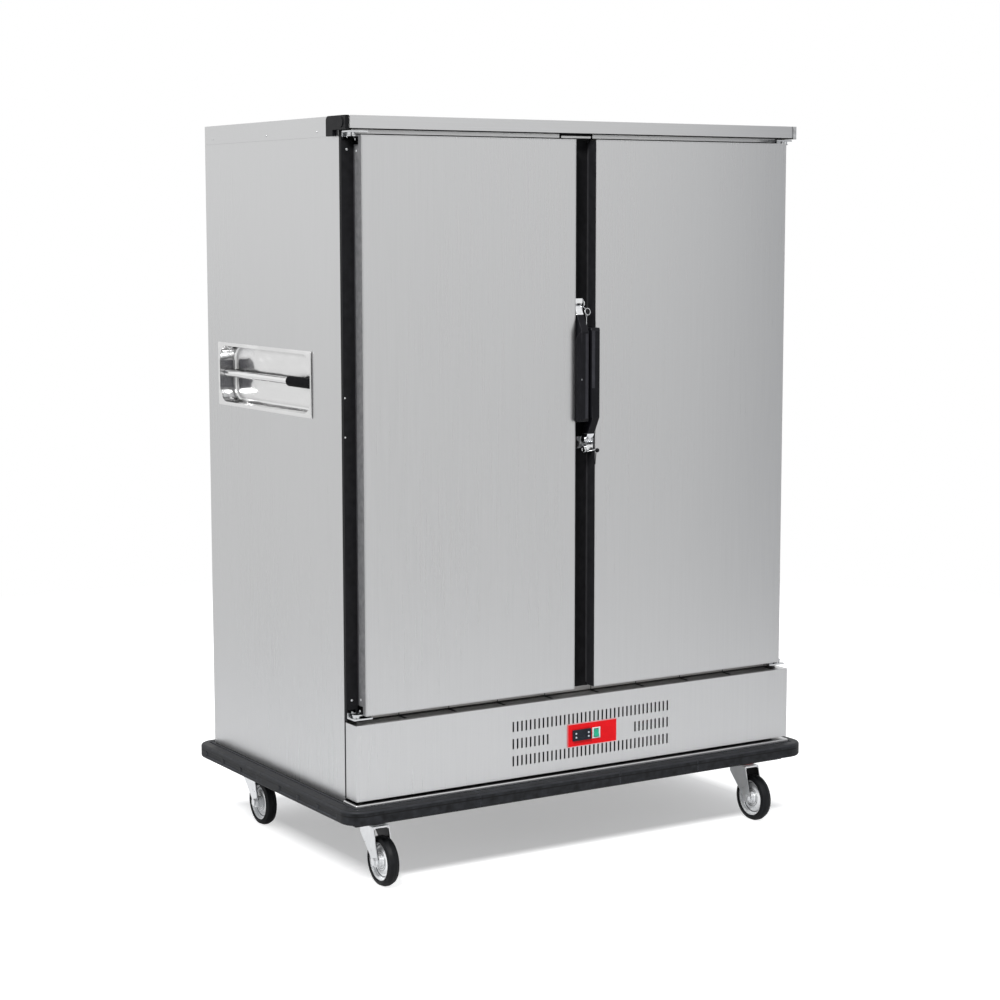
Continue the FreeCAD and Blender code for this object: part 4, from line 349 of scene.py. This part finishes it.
PLAIN_LOOKS = {
    "zinc": dict(colour=PLATED, rough=0.32, metal=0.85, vary=0.03, bump=0.02),
    "wheel_zinc": dict(colour=(0.88, 0.89, 0.90), rough=0.24, metal=0.4, vary=0.03, bump=0.02),
    "pressed_line": dict(colour=(0.14, 0.145, 0.15), rough=0.4, metal=0.6, vary=0.1, bump=0.02),
    "chrome": dict(colour=PLATED, rough=0.14, metal=1.0, vary=0.02, bump=0.01),
    "black_plastic": dict(colour=(0.005, 0.005, 0.006), rough=0.4, vary=0.2, shine=0.12, wear=4.0),
    "grip_rubber": dict(colour=(0.004, 0.004, 0.005), rough=0.65, vary=0.2, bump=0.15, shine=0.04,
                        wear=3.0),
    "frame_black": dict(colour=(0.0105, 0.0105, 0.0115), rough=0.5, vary=0.2, shine=0.09),
    "bumper_rubber": dict(colour=(0.0115, 0.0122, 0.0142), rough=0.5, vary=0.7, scale=45, bump=0.35,
                          edge=0.003, shine=0.16, wear=5.0),
    "gasket_rubber": dict(colour=(0.045, 0.045, 0.048), rough=0.6, vary=0.15, shine=0.12),
    "liner_black": dict(colour=(0.018, 0.018, 0.020), rough=0.5, vary=0.2, shine=0.12),
    "tyre_rubber": dict(colour=(0.006, 0.0065, 0.0075), rough=0.5, vary=0.3, bump=0.2, edge=0.003,
                        shine=0.16, wear=4.0),
    "foam": dict(colour=(0.70, 0.61, 0.36), rough=0.9, vary=0.1, bump=0.4),
    "red_plate": dict(colour=(0.66, 0.006, 0.010), rough=0.4, vary=0.06, shine=0.12),
    "controller_case": dict(colour=(0.012, 0.015, 0.021), rough=0.35, vary=0.15, shine=0.15, wear=2.0),
    "key_plastic": dict(colour=(0.52, 0.55, 0.60), rough=0.45),
    "switch_case": dict(colour=(0.62, 0.66, 0.66), rough=0.4, vary=0.06),
    "rocker_green": dict(colour=(0.006, 0.33, 0.19), rough=0.25, coat=0.2, shine=0.3),
    "base_paint": dict(colour=(0.016, 0.016, 0.018), rough=0.5, vary=0.15, shine=0.15, wear=2.0),
    "plant_paint": dict(colour=(0.012, 0.012, 0.014), rough=0.4, vary=0.15, shine=0.3, wear=1.5),
    "fan_plastic": dict(colour=(0.03, 0.032, 0.035), rough=0.5, vary=0.15, shine=0.3),
    "fin_aluminium": dict(colour=(0.07, 0.07, 0.075), rough=0.45, metal=0.6, vary=0.1),
    "copper": dict(colour=(0.62, 0.27, 0.14), rough=0.28, metal=1.0, vary=0.1),
    "plate_border": dict(colour=(0.66, 0.36, 0.37), rough=0.4, vary=0.05),
    "swivel_dust": dict(colour=(0.30, 0.12, 0.12), rough=0.8, vary=0.3, shine=0.1),
}
finishes = {name: brushed(name, **look) for name, look in BRUSHED_LOOKS.items()}
finishes.update({name: plain(name, **look) for name, look in PLAIN_LOOKS.items()})


def dress(node_name, finish):
    """Gives a CAD node its finish, in place of any before."""
    materials = nodes[node_name].data.materials
    materials.clear()
    materials.append(finish.material)


for entry in frame["record"]["subparts"]:
    dress(entry["node"], finishes[entry["material_slot"]])
dress("bar_grips", finishes["grip_rubber"])
dress("top_panel", finishes["lid_steel"])

# The doors' folded hinge edges get painted shade and reflection: a grey, less metal than their fronts. Their
# inner doors are black.
DOOR_STEEL = (0.580, 0.583, 0.587)
RETURN_PAINTED_SHADE = (0.20, 0.20, 0.205)
DOOR_EDGE = 634
RETURN_THICK = 1.3
for side, sign in SIDES.items():
    finish = brushed(f"door_steel_{side}", DOOR_STEEL, rough=0.30, grain_scale=UPRIGHT_GRAIN, edge=0.005)
    low = (sign * (DOOR_EDGE - RETURN_THICK), -407, 430)
    high = (sign * DOOR_EDGE, -370, 1818)
    finish.recolour(nodes[f"door_skin_{side}"], low, high, RETURN_PAINTED_SHADE, metal=0.3)
    dress(f"door_skin_{side}", finish)
    dress(f"door_liner_{side}", finishes["liner_black"])

# The bumper gets a paler upper lip, a painted highlight, and a dark groove along it, painted shade: bottom,
# top and colour of each band.
BUMPER_BANDS = ((206.5, 211, (0.022, 0.023, 0.026)), (197.5, 199.5, (0.002, 0.002, 0.002)))
for bottom, top, colour in BUMPER_BANDS:
    finishes["bumper_rubber"].recolour(nodes["bumper"], (-720, -460, bottom), (720, 460, top), colour)

# The photograph shows no black at the right end of the lid, so the guard there has a steel colour.
GUARD_STEEL = (0.56, 0.565, 0.57)
finish = plain("guard_plastic", **PLAIN_LOOKS["black_plastic"])
finish.recolour(nodes["corner_guards"], (600, -420, 1800), (700, 0, 1870), GUARD_STEEL, metal=1.0)
dress("corner_guards", finish)

# Painted reflection and shade: between their ends the hinge pieces face only black pieces, so a dark colour
# is painted on them for that reflection. The insides of the forks get painted shade the same way.
PAINTED_SHADE_DARK = (0.012, 0.012, 0.013)
HINGE_STEEL = (0.62, 0.63, 0.64)
for name in ("hinge_brackets", "hinge_arms_left", "hinge_arms_right"):
    finish = plain(f"zinc_{name}", HINGE_STEEL, rough=0.14, metal=1.0, vary=0.03, bump=0.02)
    finish.recolour(nodes[name], (-700, -500, 437), (700, -300, 1811), PAINTED_SHADE_DARK)
    dress(name, finish)

# Each caster's kingpin, across and along the cart. The axle lies ahead of it.
CASTERS = {
    "front_left": (-574, -334),
    "front_right": (574, -334),
    "rear_left": (-574, 334),
    "rear_right": (574, 334),
}
AXLE_AHEAD = 48
AXLE_Z = 62.5
# Half the width inside a fork, and the heights between which painted shade darkens it
INSIDE_FORK = 20.5
FORK_DARK_LOW = 70
FORK_DARK_HIGH = 139
for label, (x, kingpin_y) in CASTERS.items():
    axle_y = kingpin_y - AXLE_AHEAD
    finish = plain(f"zinc_fork_{label}", **PLAIN_LOOKS["zinc"])
    low = (x - INSIDE_FORK, axle_y - 80, FORK_DARK_LOW)
    high = (x + INSIDE_FORK, axle_y + 140, FORK_DARK_HIGH)
    finish.recolour(nodes[f"caster_fork_{label}"], low, high, PAINTED_SHADE_DARK)
    dress(f"caster_fork_{label}", finish)
    dress(f"caster_wheel_{label}", finishes["wheel_zinc"])

# Painted shade inside the control panel: its steel behind the air slots is coloured dark, so only dark shows
# through them.
finish = brushed("panel_steel", **BRUSHED_LOOKS["stainless"])
finish.recolour(nodes["control_panel"], (-659.5, -409.2, 190), (659.5, -300, 411.8), PAINTED_SHADE_DARK)
dress("control_panel", finish)

# Each lever's hub is plated, above or below a height. Along a band of its grip a lighter grey is painted as
# a highlight.
LEVER_PAINTED_HIGHLIGHT = (0.028, 0.028, 0.033)
LEVERS = {
    "left": dict(height=1383, above=True, band=((-15, -440, 1124), (-5.5, -427, 1336))),
    "right": dict(height=1083, above=False, band=((5.5, -440, 1200), (13, -427, 1342))),
}
for side, look in LEVERS.items():
    lever = nodes[f"latch_lever_{side}"]
    limit = (lever.matrix_world.inverted() @ at(0, 0, look["height"])).z
    finish = lever_finish(f"lever_{side}", limit, look["above"])
    finish.recolour(lever, *look["band"], LEVER_PAINTED_HIGHLIGHT)
    dress(f"latch_lever_{side}", finish)


# Small trim, gathered into one mesh for each body and finish

FORWARD = (0, -1, 0)
ACROSS = (1, 0, 0)
UPWARD = (0, 0, 1)
BOX_FACES = ((0, 1, 3, 2), (4, 6, 7, 5), (0, 4, 5, 1), (2, 3, 7, 6), (0, 2, 6, 4), (1, 5, 7, 3))
SHARP_ANGLE = math.radians(35)
BALL_BANDS = 8


class Trim:
    """Strips, rods, rings, balls and screw heads that become one object."""

    def __init__(self, name, body, slot, finish=None):
        self.name = name
        self.body = body
        self.slot = slot
        self.finish = finish or slot
        self.points = []
        self.faces = []

    def box(self, corner, opposite):
        """A block between two opposite corners."""
        first = len(self.points)
        ranges = [sorted(pair) for pair in zip(at(*corner), at(*opposite))]
        self.points.extend(itertools.product(*ranges))
        for face in BOX_FACES:
            self.faces.append([first + corner_index for corner_index in face])

    def turned(self, start, axis, profile, sides):
        """A turned form: a profile of (distance along the axis, radius), closed at both ends."""
        origin = at(*start)
        turn = Vector(axis).to_track_quat("Z", "Y")
        first = len(self.points)
        for along, radius in profile:
            for step in range(sides):
                angle = 2 * math.pi * step / sides
                offset = Vector((math.cos(angle) * radius, math.sin(angle) * radius, along)) / MM_PER_METRE
                self.points.append(origin + turn @ offset)
        for band in range(len(profile) - 1):
            here = first + band * sides
            for step in range(sides):
                after = (step + 1) % sides
                self.faces.append([here + step, here + after, here + sides + after, here + sides + step])
        last = first + (len(profile) - 1) * sides
        self.faces.append([first + step for step in reversed(range(sides))])
        self.faces.append([last + step for step in range(sides)])

    def screw(self, point, axis, radius, height=1.2):
        """A low domed screw or rivet head."""
        rim = [(0, radius), (height * 0.5, radius)]
        dome = [(height * 0.85, radius * 0.8), (height, radius * 0.4)]
        self.turned(point, axis, rim + dome, sides=16)

    def ball(self, centre, radius):
        """A small ball with flat ends."""
        angles = [math.pi * (step + 0.5) / BALL_BANDS for step in range(BALL_BANDS)]
        profile = [(-radius * math.cos(angle), radius * math.sin(angle)) for angle in angles]
        self.turned(centre, UPWARD, profile, sides=12)

    def rod(self, start, end, radius):
        """A straight wire with tapered ends."""
        axis = Vector(end) - Vector(start)
        length = axis.length
        cap = radius * 0.7
        tip = radius * 0.4
        profile = [(-cap, tip), (0, radius), (length, radius), (length + cap, tip)]
        self.turned(start, axis, profile, sides=10)

    def ring(self, centre, axis, radius, wire, sides=28, round_sides=8):
        """A closed wire ring about an axis."""
        origin = at(*centre)
        turn = Vector(axis).to_track_quat("Z", "Y")
        first = len(self.points)
        for step in range(sides):
            angle = 2 * math.pi * step / sides
            for part in range(round_sides):
                tilt = 2 * math.pi * part / round_sides
                out = radius + wire * math.cos(tilt)
                offset = Vector((out * math.cos(angle), out * math.sin(angle), wire * math.sin(tilt)))
                self.points.append(origin + turn @ (offset / MM_PER_METRE))
        for step in range(sides):
            here = first + step * round_sides
            after = first + (step + 1) % sides * round_sides
            for part in range(round_sides):
                beside = (part + 1) % round_sides
                self.faces.append([here + part, after + part, after + beside, here + beside])

    def build(self, soften=0.0):
        """Makes the object, with its edges softened by a width in millimetres where given."""
        mesh = bpy.data.meshes.new(self.name)
        mesh.from_pydata(self.points, [], self.faces)
        mesh.materials.append(finishes[self.finish].material)
        for polygon in mesh.polygons:
            polygon.use_smooth = True
        mesh.set_sharp_from_angle(angle=SHARP_ANGLE)
        item = bpy.data.objects.new(self.name, mesh)
        bpy.context.scene.collection.objects.link(item)
        if soften:
            bevel = item.modifiers.new("soft_edges", "BEVEL")
            bevel.width = soften / MM_PER_METRE
            bevel.segments = 2
        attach(item, self.body)


# Steel strips on the head of the frame, one over each door and a lower one across the gap between them:
# start, end and top of each
HEAD_STRIPS = ((-DOOR_EDGE, -49, 1829.5), (-44, 45, 1825), (50, DOOR_EDGE, 1829.5))
STRIP_LOW = 1819
STRIP_THICK = 1.2
strips = Trim("head_strips", "cabinet", "stainless")
for start, end, top in HEAD_STRIPS:
    strips.box((start, FRAME_FACE - STRIP_THICK, STRIP_LOW), (end, FRAME_FACE, top))
strips.build(soften=0.4)

PANEL_TOP = 413
seams = Trim("panel_seams", "cabinet", "frame_black")
for sign in SIDES.values():
    # Dark joint between the head of the frame and the lid
    seams.box((sign * 0.5, FRAME_FACE - 0.8, 1827.5), (sign * 655, FRAME_FACE + 1, 1834))
    # Dark joint behind the control panel's side returns
    seams.box((sign * 660.9, -357, 226), (sign * 661.5, -353.5, PANEL_TOP))
seams.build()

# Screws beside each hinge, as height and face, and smaller ones near the middle of the frame's jambs
HINGE_SCREWS = ((436, FRAME_FACE - 3), (466, FRAME_FACE), (1782, FRAME_FACE), (1812, FRAME_FACE - 3))
HINGE_SCREW_X = 645
JAMB_SCREWS = (1198, 1104)
JAMB_SCREW_X = 656
screws = Trim("frame_screws", "cabinet", "zinc")
for sign in SIDES.values():
    for z, face in HINGE_SCREWS:
        screws.screw((sign * HINGE_SCREW_X, face, z), FORWARD, radius=3.0)
    for z in JAMB_SCREWS:
        screws.screw((sign * JAMB_SCREW_X, FRAME_FACE, z), FORWARD, radius=2.2)
screws.build()

# Rivets along the sides of the lid's skirt
LID_RIVETS = (349, 33, -240)
RIVET_Z = 1825.5
LID_SIDE = 661.2
rivets = Trim("lid_rivets", "cabinet", "stainless")
for sign in SIDES.values():
    for y in LID_RIVETS:
        rivets.screw((sign * LID_SIDE, y, RIVET_Z), (sign, 0, 0), radius=2.6)
rivets.build()

# Sill behind the control panel: a grey strip with small dark notches, which go on along the panel's top
SILL_LOW = 416
SILL_HIGH = 428
sill_strip = Trim("sill_strip", "cabinet", "stainless", "sill_steel")
sill_strip.box((-DOOR_EDGE, FRAME_FACE - 1.4, SILL_LOW), (DOOR_EDGE, FRAME_FACE, SILL_HIGH))
# The same darker steel laid over the panel's top is painted shade under the doors
sill_strip.box((-DOOR_EDGE, -402, PANEL_TOP), (DOOR_EDGE, -362, PANEL_TOP + 0.5))
sill_strip.build(soften=0.2)
NOTCH_MIDDLE = 52
NOTCH_PITCH = 142
NOTCHES_EACH_WAY = 4
notches = Trim("sill_notches", "cabinet", "frame_black")
for step in range(-NOTCHES_EACH_WAY, NOTCHES_EACH_WAY + 1):
    x = NOTCH_MIDDLE + NOTCH_PITCH * step
    notches.box((x - 4, -396, PANEL_TOP + 0.4), (x + 4, -366, PANEL_TOP + 0.9))
    notches.box((x - 1.2, FRAME_FACE - 1.8, SILL_LOW), (x + 1.2, FRAME_FACE - 1.3, SILL_HIGH))
notches.build()

# Screws through each door's hinge arms, as height and face
ARM_SCREWS = ((443, 636), (470, 633), (1778, 633), (1805, 636))
ARM_SCREW_Y = -383.5
for side, sign in SIDES.items():
    arm_screws = Trim(f"arm_screws_{side}", f"door_{side}", "zinc")
    for z, face in ARM_SCREWS:
        arm_screws.screw((sign * face, ARM_SCREW_Y, z), (sign, 0, 0), radius=3.0, height=0.9)
    arm_screws.build()

# A loose ring and a short tail hang from the left lock pin
tail = Trim("lock_ring_left", "pin_left", "chrome")
tail.rod((-2.2, -398, 1403), (-1.2, -407, 1398.5), radius=1.0)
tail.ring((5.2, -409, 1390), (0.12, -1, 0.15), radius=8.4, wire=1.1)
tail.ring((0.6, -410, 1380.5), ACROSS, radius=3.0, wire=0.8)
tail.rod((0.4, -410.5, 1378), (0.2, -411, 1355), radius=1.25)
tail.build()

# A black ball on a bead chain hangs from the right lock pin, in front of the door's edge
CHAIN_BEADS = 10
CHAIN_BEAD = 1.5
knob = Trim("lock_knob_right", "pin_right", "black_plastic")
knob.ball((30.5, -417, 1041), radius=5.6)
for bead in range(CHAIN_BEADS):
    drop = bead * 2 * CHAIN_BEAD
    knob.ball((30 - bead * 0.2, -412 + bead * 0.1, 1033.5 - drop), radius=CHAIN_BEAD)
knob.build()
# Bright links run from the pin to the ball with a slight sag
LINKS = 8
LINK_SAG = 5
links = Trim("lock_links_right", "pin_right", "chrome")
for bead in range(LINKS):
    share = bead / (LINKS - 1)
    sag = LINK_SAG * share * (1 - share)
    links.ball((3 + 22 * share, -406.5 - 8.5 * share, 1040 + 3 * share - sag), radius=1.7)
links.build()

# Small rivet on the front of the left lever
mark = Trim("lever_mark_left", "lever_left", "chrome", "pressed_line")
mark.screw((-26, -431, 1222), FORWARD, radius=2.4, height=0.9)
mark.build()

# Raised bead along the front edge of each handle flange
beads = Trim("handle_beads", "cabinet", "polished_steel", "bright_steel")
for sign in SIDES.values():
    beads.box((sign * 661, -198.5, 1139), (sign * 664, -192.5, 1299))
beads.build(soften=1.3)

# Pressed rings on both faces of each wheel disc: radius, distance from the disc's middle, and wire
WHEEL_RINGS = ((19, 7, 0.8), (24, 7, 0.8), (39.5, 2.5, 1.4))
# Dust round the swivel races, just above the forks; the photograph shows it reddish at the front right only
RACE_RADIUS = 27
DUST_ROUND = 2.2
DUST_CLEAR = 1
RING_SIDES = 40
for label, (x, kingpin_y) in CASTERS.items():
    axle_y = kingpin_y - AXLE_AHEAD
    rings = Trim(f"wheel_rings_{label}", f"wheel_{label}", "zinc", "pressed_line")
    for sign in SIDES.values():
        for radius, face, wire in WHEEL_RINGS:
            centre = (x + sign * face, axle_y, AXLE_Z)
            rings.ring(centre, ACROSS, radius, wire, sides=RING_SIDES, round_sides=6)
    rings.build()
    crown_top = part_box(f"caster_fork_{label}")[1][2] * MM_PER_METRE
    dust_finish = "swivel_dust" if label == "front_right" else "pressed_line"
    dust = Trim(f"swivel_dust_{label}", "cabinet", "zinc", dust_finish)
    centre = (x, kingpin_y, crown_top + DUST_ROUND + DUST_CLEAR)
    dust.ring(centre, UPWARD, RACE_RADIUS, DUST_ROUND, sides=RING_SIDES)
    dust.build()

# Thin pale border round the control plate: the bars run inside these limits
PLATE_LEFT = -53
PLATE_RIGHT = 99
PLATE_LOW = 283.5
PLATE_HIGH = 343.5
BAR = 1.5
BORDER_FRONT = -411.8
BORDER_BACK = -411.4
border = Trim("plate_border", "cabinet", "red_plate", "plate_border")
for bottom in (PLATE_LOW, PLATE_HIGH - BAR):
    border.box((PLATE_LEFT, BORDER_FRONT, bottom), (PLATE_RIGHT, BORDER_BACK, bottom + BAR))
for left in (PLATE_LEFT, PLATE_RIGHT - BAR):
    border.box((left, BORDER_FRONT, PLATE_LOW + BAR), (left + BAR, BORDER_BACK, PLATE_HIGH - BAR))
border.build()

# Studio, in metres

scene = bpy.context.scene
scene.view_settings.view_transform = "Standard"


def sheet(name, corners, finish):
    """One flat face of the studio."""
    mesh = bpy.data.meshes.new(name)
    mesh.from_pydata(corners, [], [(0, 1, 2, 3)])
    mesh.materials.append(finish.material)
    item = bpy.data.objects.new(name, mesh)
    scene.collection.objects.link(item)
    return item


# Pale floor that keeps the shadow near the object and turns to the white of the backdrop further off
FLOOR_REACH = 40
FLOOR_PALE = (0.62, 0.62, 0.62)
FADE_START = 1.9
FADE_END = 4.2
# Painted shadow: the floor glows less within these limits in millimetres under the cart, with a soft edge,
# so its grey shows only there.
SHADE_LOW = (-520, -295, 0)
SHADE_HIGH = (705, 500, 0)
SHADE_EDGE = 0.06
# The floor's own light: near the cart, what is added outside the painted shadow, and in reflections near and
# far
NEAR_GLOW = 0.34
OPEN_GLOW = 0.42
MIRRORED_NEAR = 0.08
MIRRORED_FAR = 0.84
finish = Finish("studio_floor")
distance = finish.vector("LENGTH", finish.place, result="Value")
away = finish.spread(distance, 0.0, 1.0, start=FADE_START, end=FADE_END)
middle = (at(*SHADE_LOW) + at(*SHADE_HIGH)) / 2
half = (at(*SHADE_HIGH) - at(*SHADE_LOW)) / 2
# Painted shadow: the floor glows more outside the box under the cart, whitening any shade there
open_floor = finish.spread(finish.box_gap(middle, half), 0.0, OPEN_GLOW, start=0.0, end=SHADE_EDGE)
finish.give("Base Color", finish.ramp(away, FLOOR_PALE, BLACK, start=0.0, end=1.0))
finish.give("Roughness", 0.9)
finish.give("Specular IOR Level", 0.0)
ray = finish.add("ShaderNodeLightPath").outputs
mirrored_ray = finish.number("ADD", ray["Is Glossy Ray"], ray["Is Transmission Ray"], clamp=True)
mirrored_glow = finish.spread(away, MIRRORED_NEAR, MIRRORED_FAR, start=0.0, end=1.0)
mirrored = finish.number("MULTIPLY", mirrored_ray, mirrored_glow)
near_glow = finish.spread(away, NEAR_GLOW, 1.0, start=0.0, end=1.0)
glow = finish.number("ADD", near_glow, open_floor, clamp=True)
finish.give("Emission Color", (*WHITE, 1))
finish.give("Emission Strength", finish.number("MULTIPLY_ADD", ray["Is Camera Ray"], glow, mirrored))
floor_corners = [(x * FLOOR_REACH, y * FLOOR_REACH, 0) for x, y in ((-1, -1), (1, -1), (1, 1), (-1, 1))]
floor = sheet("floor", floor_corners, finish)

# Studio flats, met only in reflections: a grey one at the right, so the doors darken from left to right,
# and a dark one behind the camera, so the bright metal shows contrast.
# Each has two ends on the floor, a height and a tone.
FLATS = {
    "grey_flat": ((2.45, -3.0), (2.45, -0.65), 4.0, (0.35, 0.36, 0.38)),
    "dark_flat": ((-6.2, -4.6), (-1.4, -7.5), 5.5, (0.10, 0.10, 0.11)),
}
# Full tone inside a box across the flat, fading to the white of the studio outside it, as shares of the flat
TONE_MIDDLE = (0.5, 0.3, 0)
TONE_HALF = (0.25, 0.35, 1)
TONE_FADE = 0.25
CORNER_SHARES = ((0, 0), (1, 0), (1, 1), (0, 1))
for name, (first, last, height, tone) in FLATS.items():
    finish = Finish(name)
    finish.place = finish.add("ShaderNodeTexCoord").outputs["UV"]
    finish.give("Base Color", (*BLACK, 1))
    finish.give("Specular IOR Level", 0.0)
    edge = finish.spread(finish.box_gap(TONE_MIDDLE, TONE_HALF), 0.0, 1.0, start=0.0, end=TONE_FADE)
    finish.give("Emission Color", finish.ramp(edge, tone, WHITE, start=0.0, end=1.0))
    finish.give("Emission Strength", 1.0)
    flat = sheet(name, [(*first, 0), (*last, 0), (*last, height), (*first, height)], finish)
    layer = flat.data.uv_layers.new(name="across")
    for loop, corner in zip(layer.data, CORNER_SHARES):
        loop.uv = corner
    flat.visible_camera = False
    flat.visible_diffuse = False
    flat.visible_shadow = False
    flat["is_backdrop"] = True
floor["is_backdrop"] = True

# The world is white to the camera and in reflections, and a soft even light on the object.
STUDIO_LIGHT = (0.80, 0.81, 0.83)
world = bpy.data.worlds.new("studio")
scene.world = world
sky = Graph(world)
ray = sky.add("ShaderNodeLightPath").outputs
backdrop = sky.add("ShaderNodeBackground")
sky.feed(backdrop.inputs["Color"], (*WHITE, 1))
studio = sky.add("ShaderNodeBackground")
sky.feed(studio.inputs["Color"], (*STUDIO_LIGHT, 1))
seen = sky.number("ADD", ray["Is Camera Ray"], ray["Is Glossy Ray"], clamp=True)
seen = sky.number("ADD", seen, ray["Is Transmission Ray"], clamp=True)
mix = sky.add("ShaderNodeMixShader")
sky.feed(mix.inputs["Fac"], seen)
sky.feed(mix.inputs[1], studio.outputs["Background"])
sky.feed(mix.inputs[2], backdrop.outputs["Background"])
output = sky.add("ShaderNodeOutputWorld")
sky.feed(output.inputs["Surface"], mix.outputs["Shader"])


def soft_light(name, place, target, size, power):
    """A square area light that points at a target."""
    data = bpy.data.lights.new(name, "AREA")
    data.shape = "RECTANGLE"
    data.size = size
    data.size_y = size
    data.energy = power
    lamp = bpy.data.objects.new(name, data)
    lamp.location = place
    lamp.rotation_mode = "QUATERNION"
    lamp.rotation_quaternion = (Vector(target) - Vector(place)).to_track_quat("-Z", "Y")
    scene.collection.objects.link(lamp)
    return lamp


soft_light("key", place=(-3.6, -3.8, 5.4), target=(0.0, 0.0, 0.6), size=1.1, power=400)
overhead = soft_light("overhead", place=(0.2, 0.4, 5.2), target=(0.0, 0.0, 0.9), size=4.5, power=60)
overhead.visible_glossy = False

# Camera, worked out from the photograph's edges. Its place is in millimetres.
CAMERA_PLACE = (-3153.76, -5062.45, 1619.19)
CAMERA_LENS = 80.757
CAMERA_SENSOR = 36
azimuth = math.radians(-31.935)
pitch = math.radians(7.134)
roll = math.radians(-0.048)
level = math.cos(pitch)
forward = Vector((-math.sin(azimuth) * level, math.cos(azimuth) * level, -math.sin(pitch)))
right = Vector((math.cos(azimuth), math.sin(azimuth), 0))
up = right.cross(forward)
sideways = right * math.cos(roll) + up * math.sin(roll)
upward = up * math.cos(roll) - right * math.sin(roll)
turn = Matrix((sideways, upward, -forward)).transposed().to_4x4()
camera_data = bpy.data.cameras.new("photo_camera")
camera_data.lens = CAMERA_LENS
camera_data.sensor_width = CAMERA_SENSOR
camera = bpy.data.objects.new("photo_camera", camera_data)
camera.matrix_world = Matrix.Translation(at(*CAMERA_PLACE)) @ turn
scene.collection.objects.link(camera)
scene.camera = camera

low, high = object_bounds()
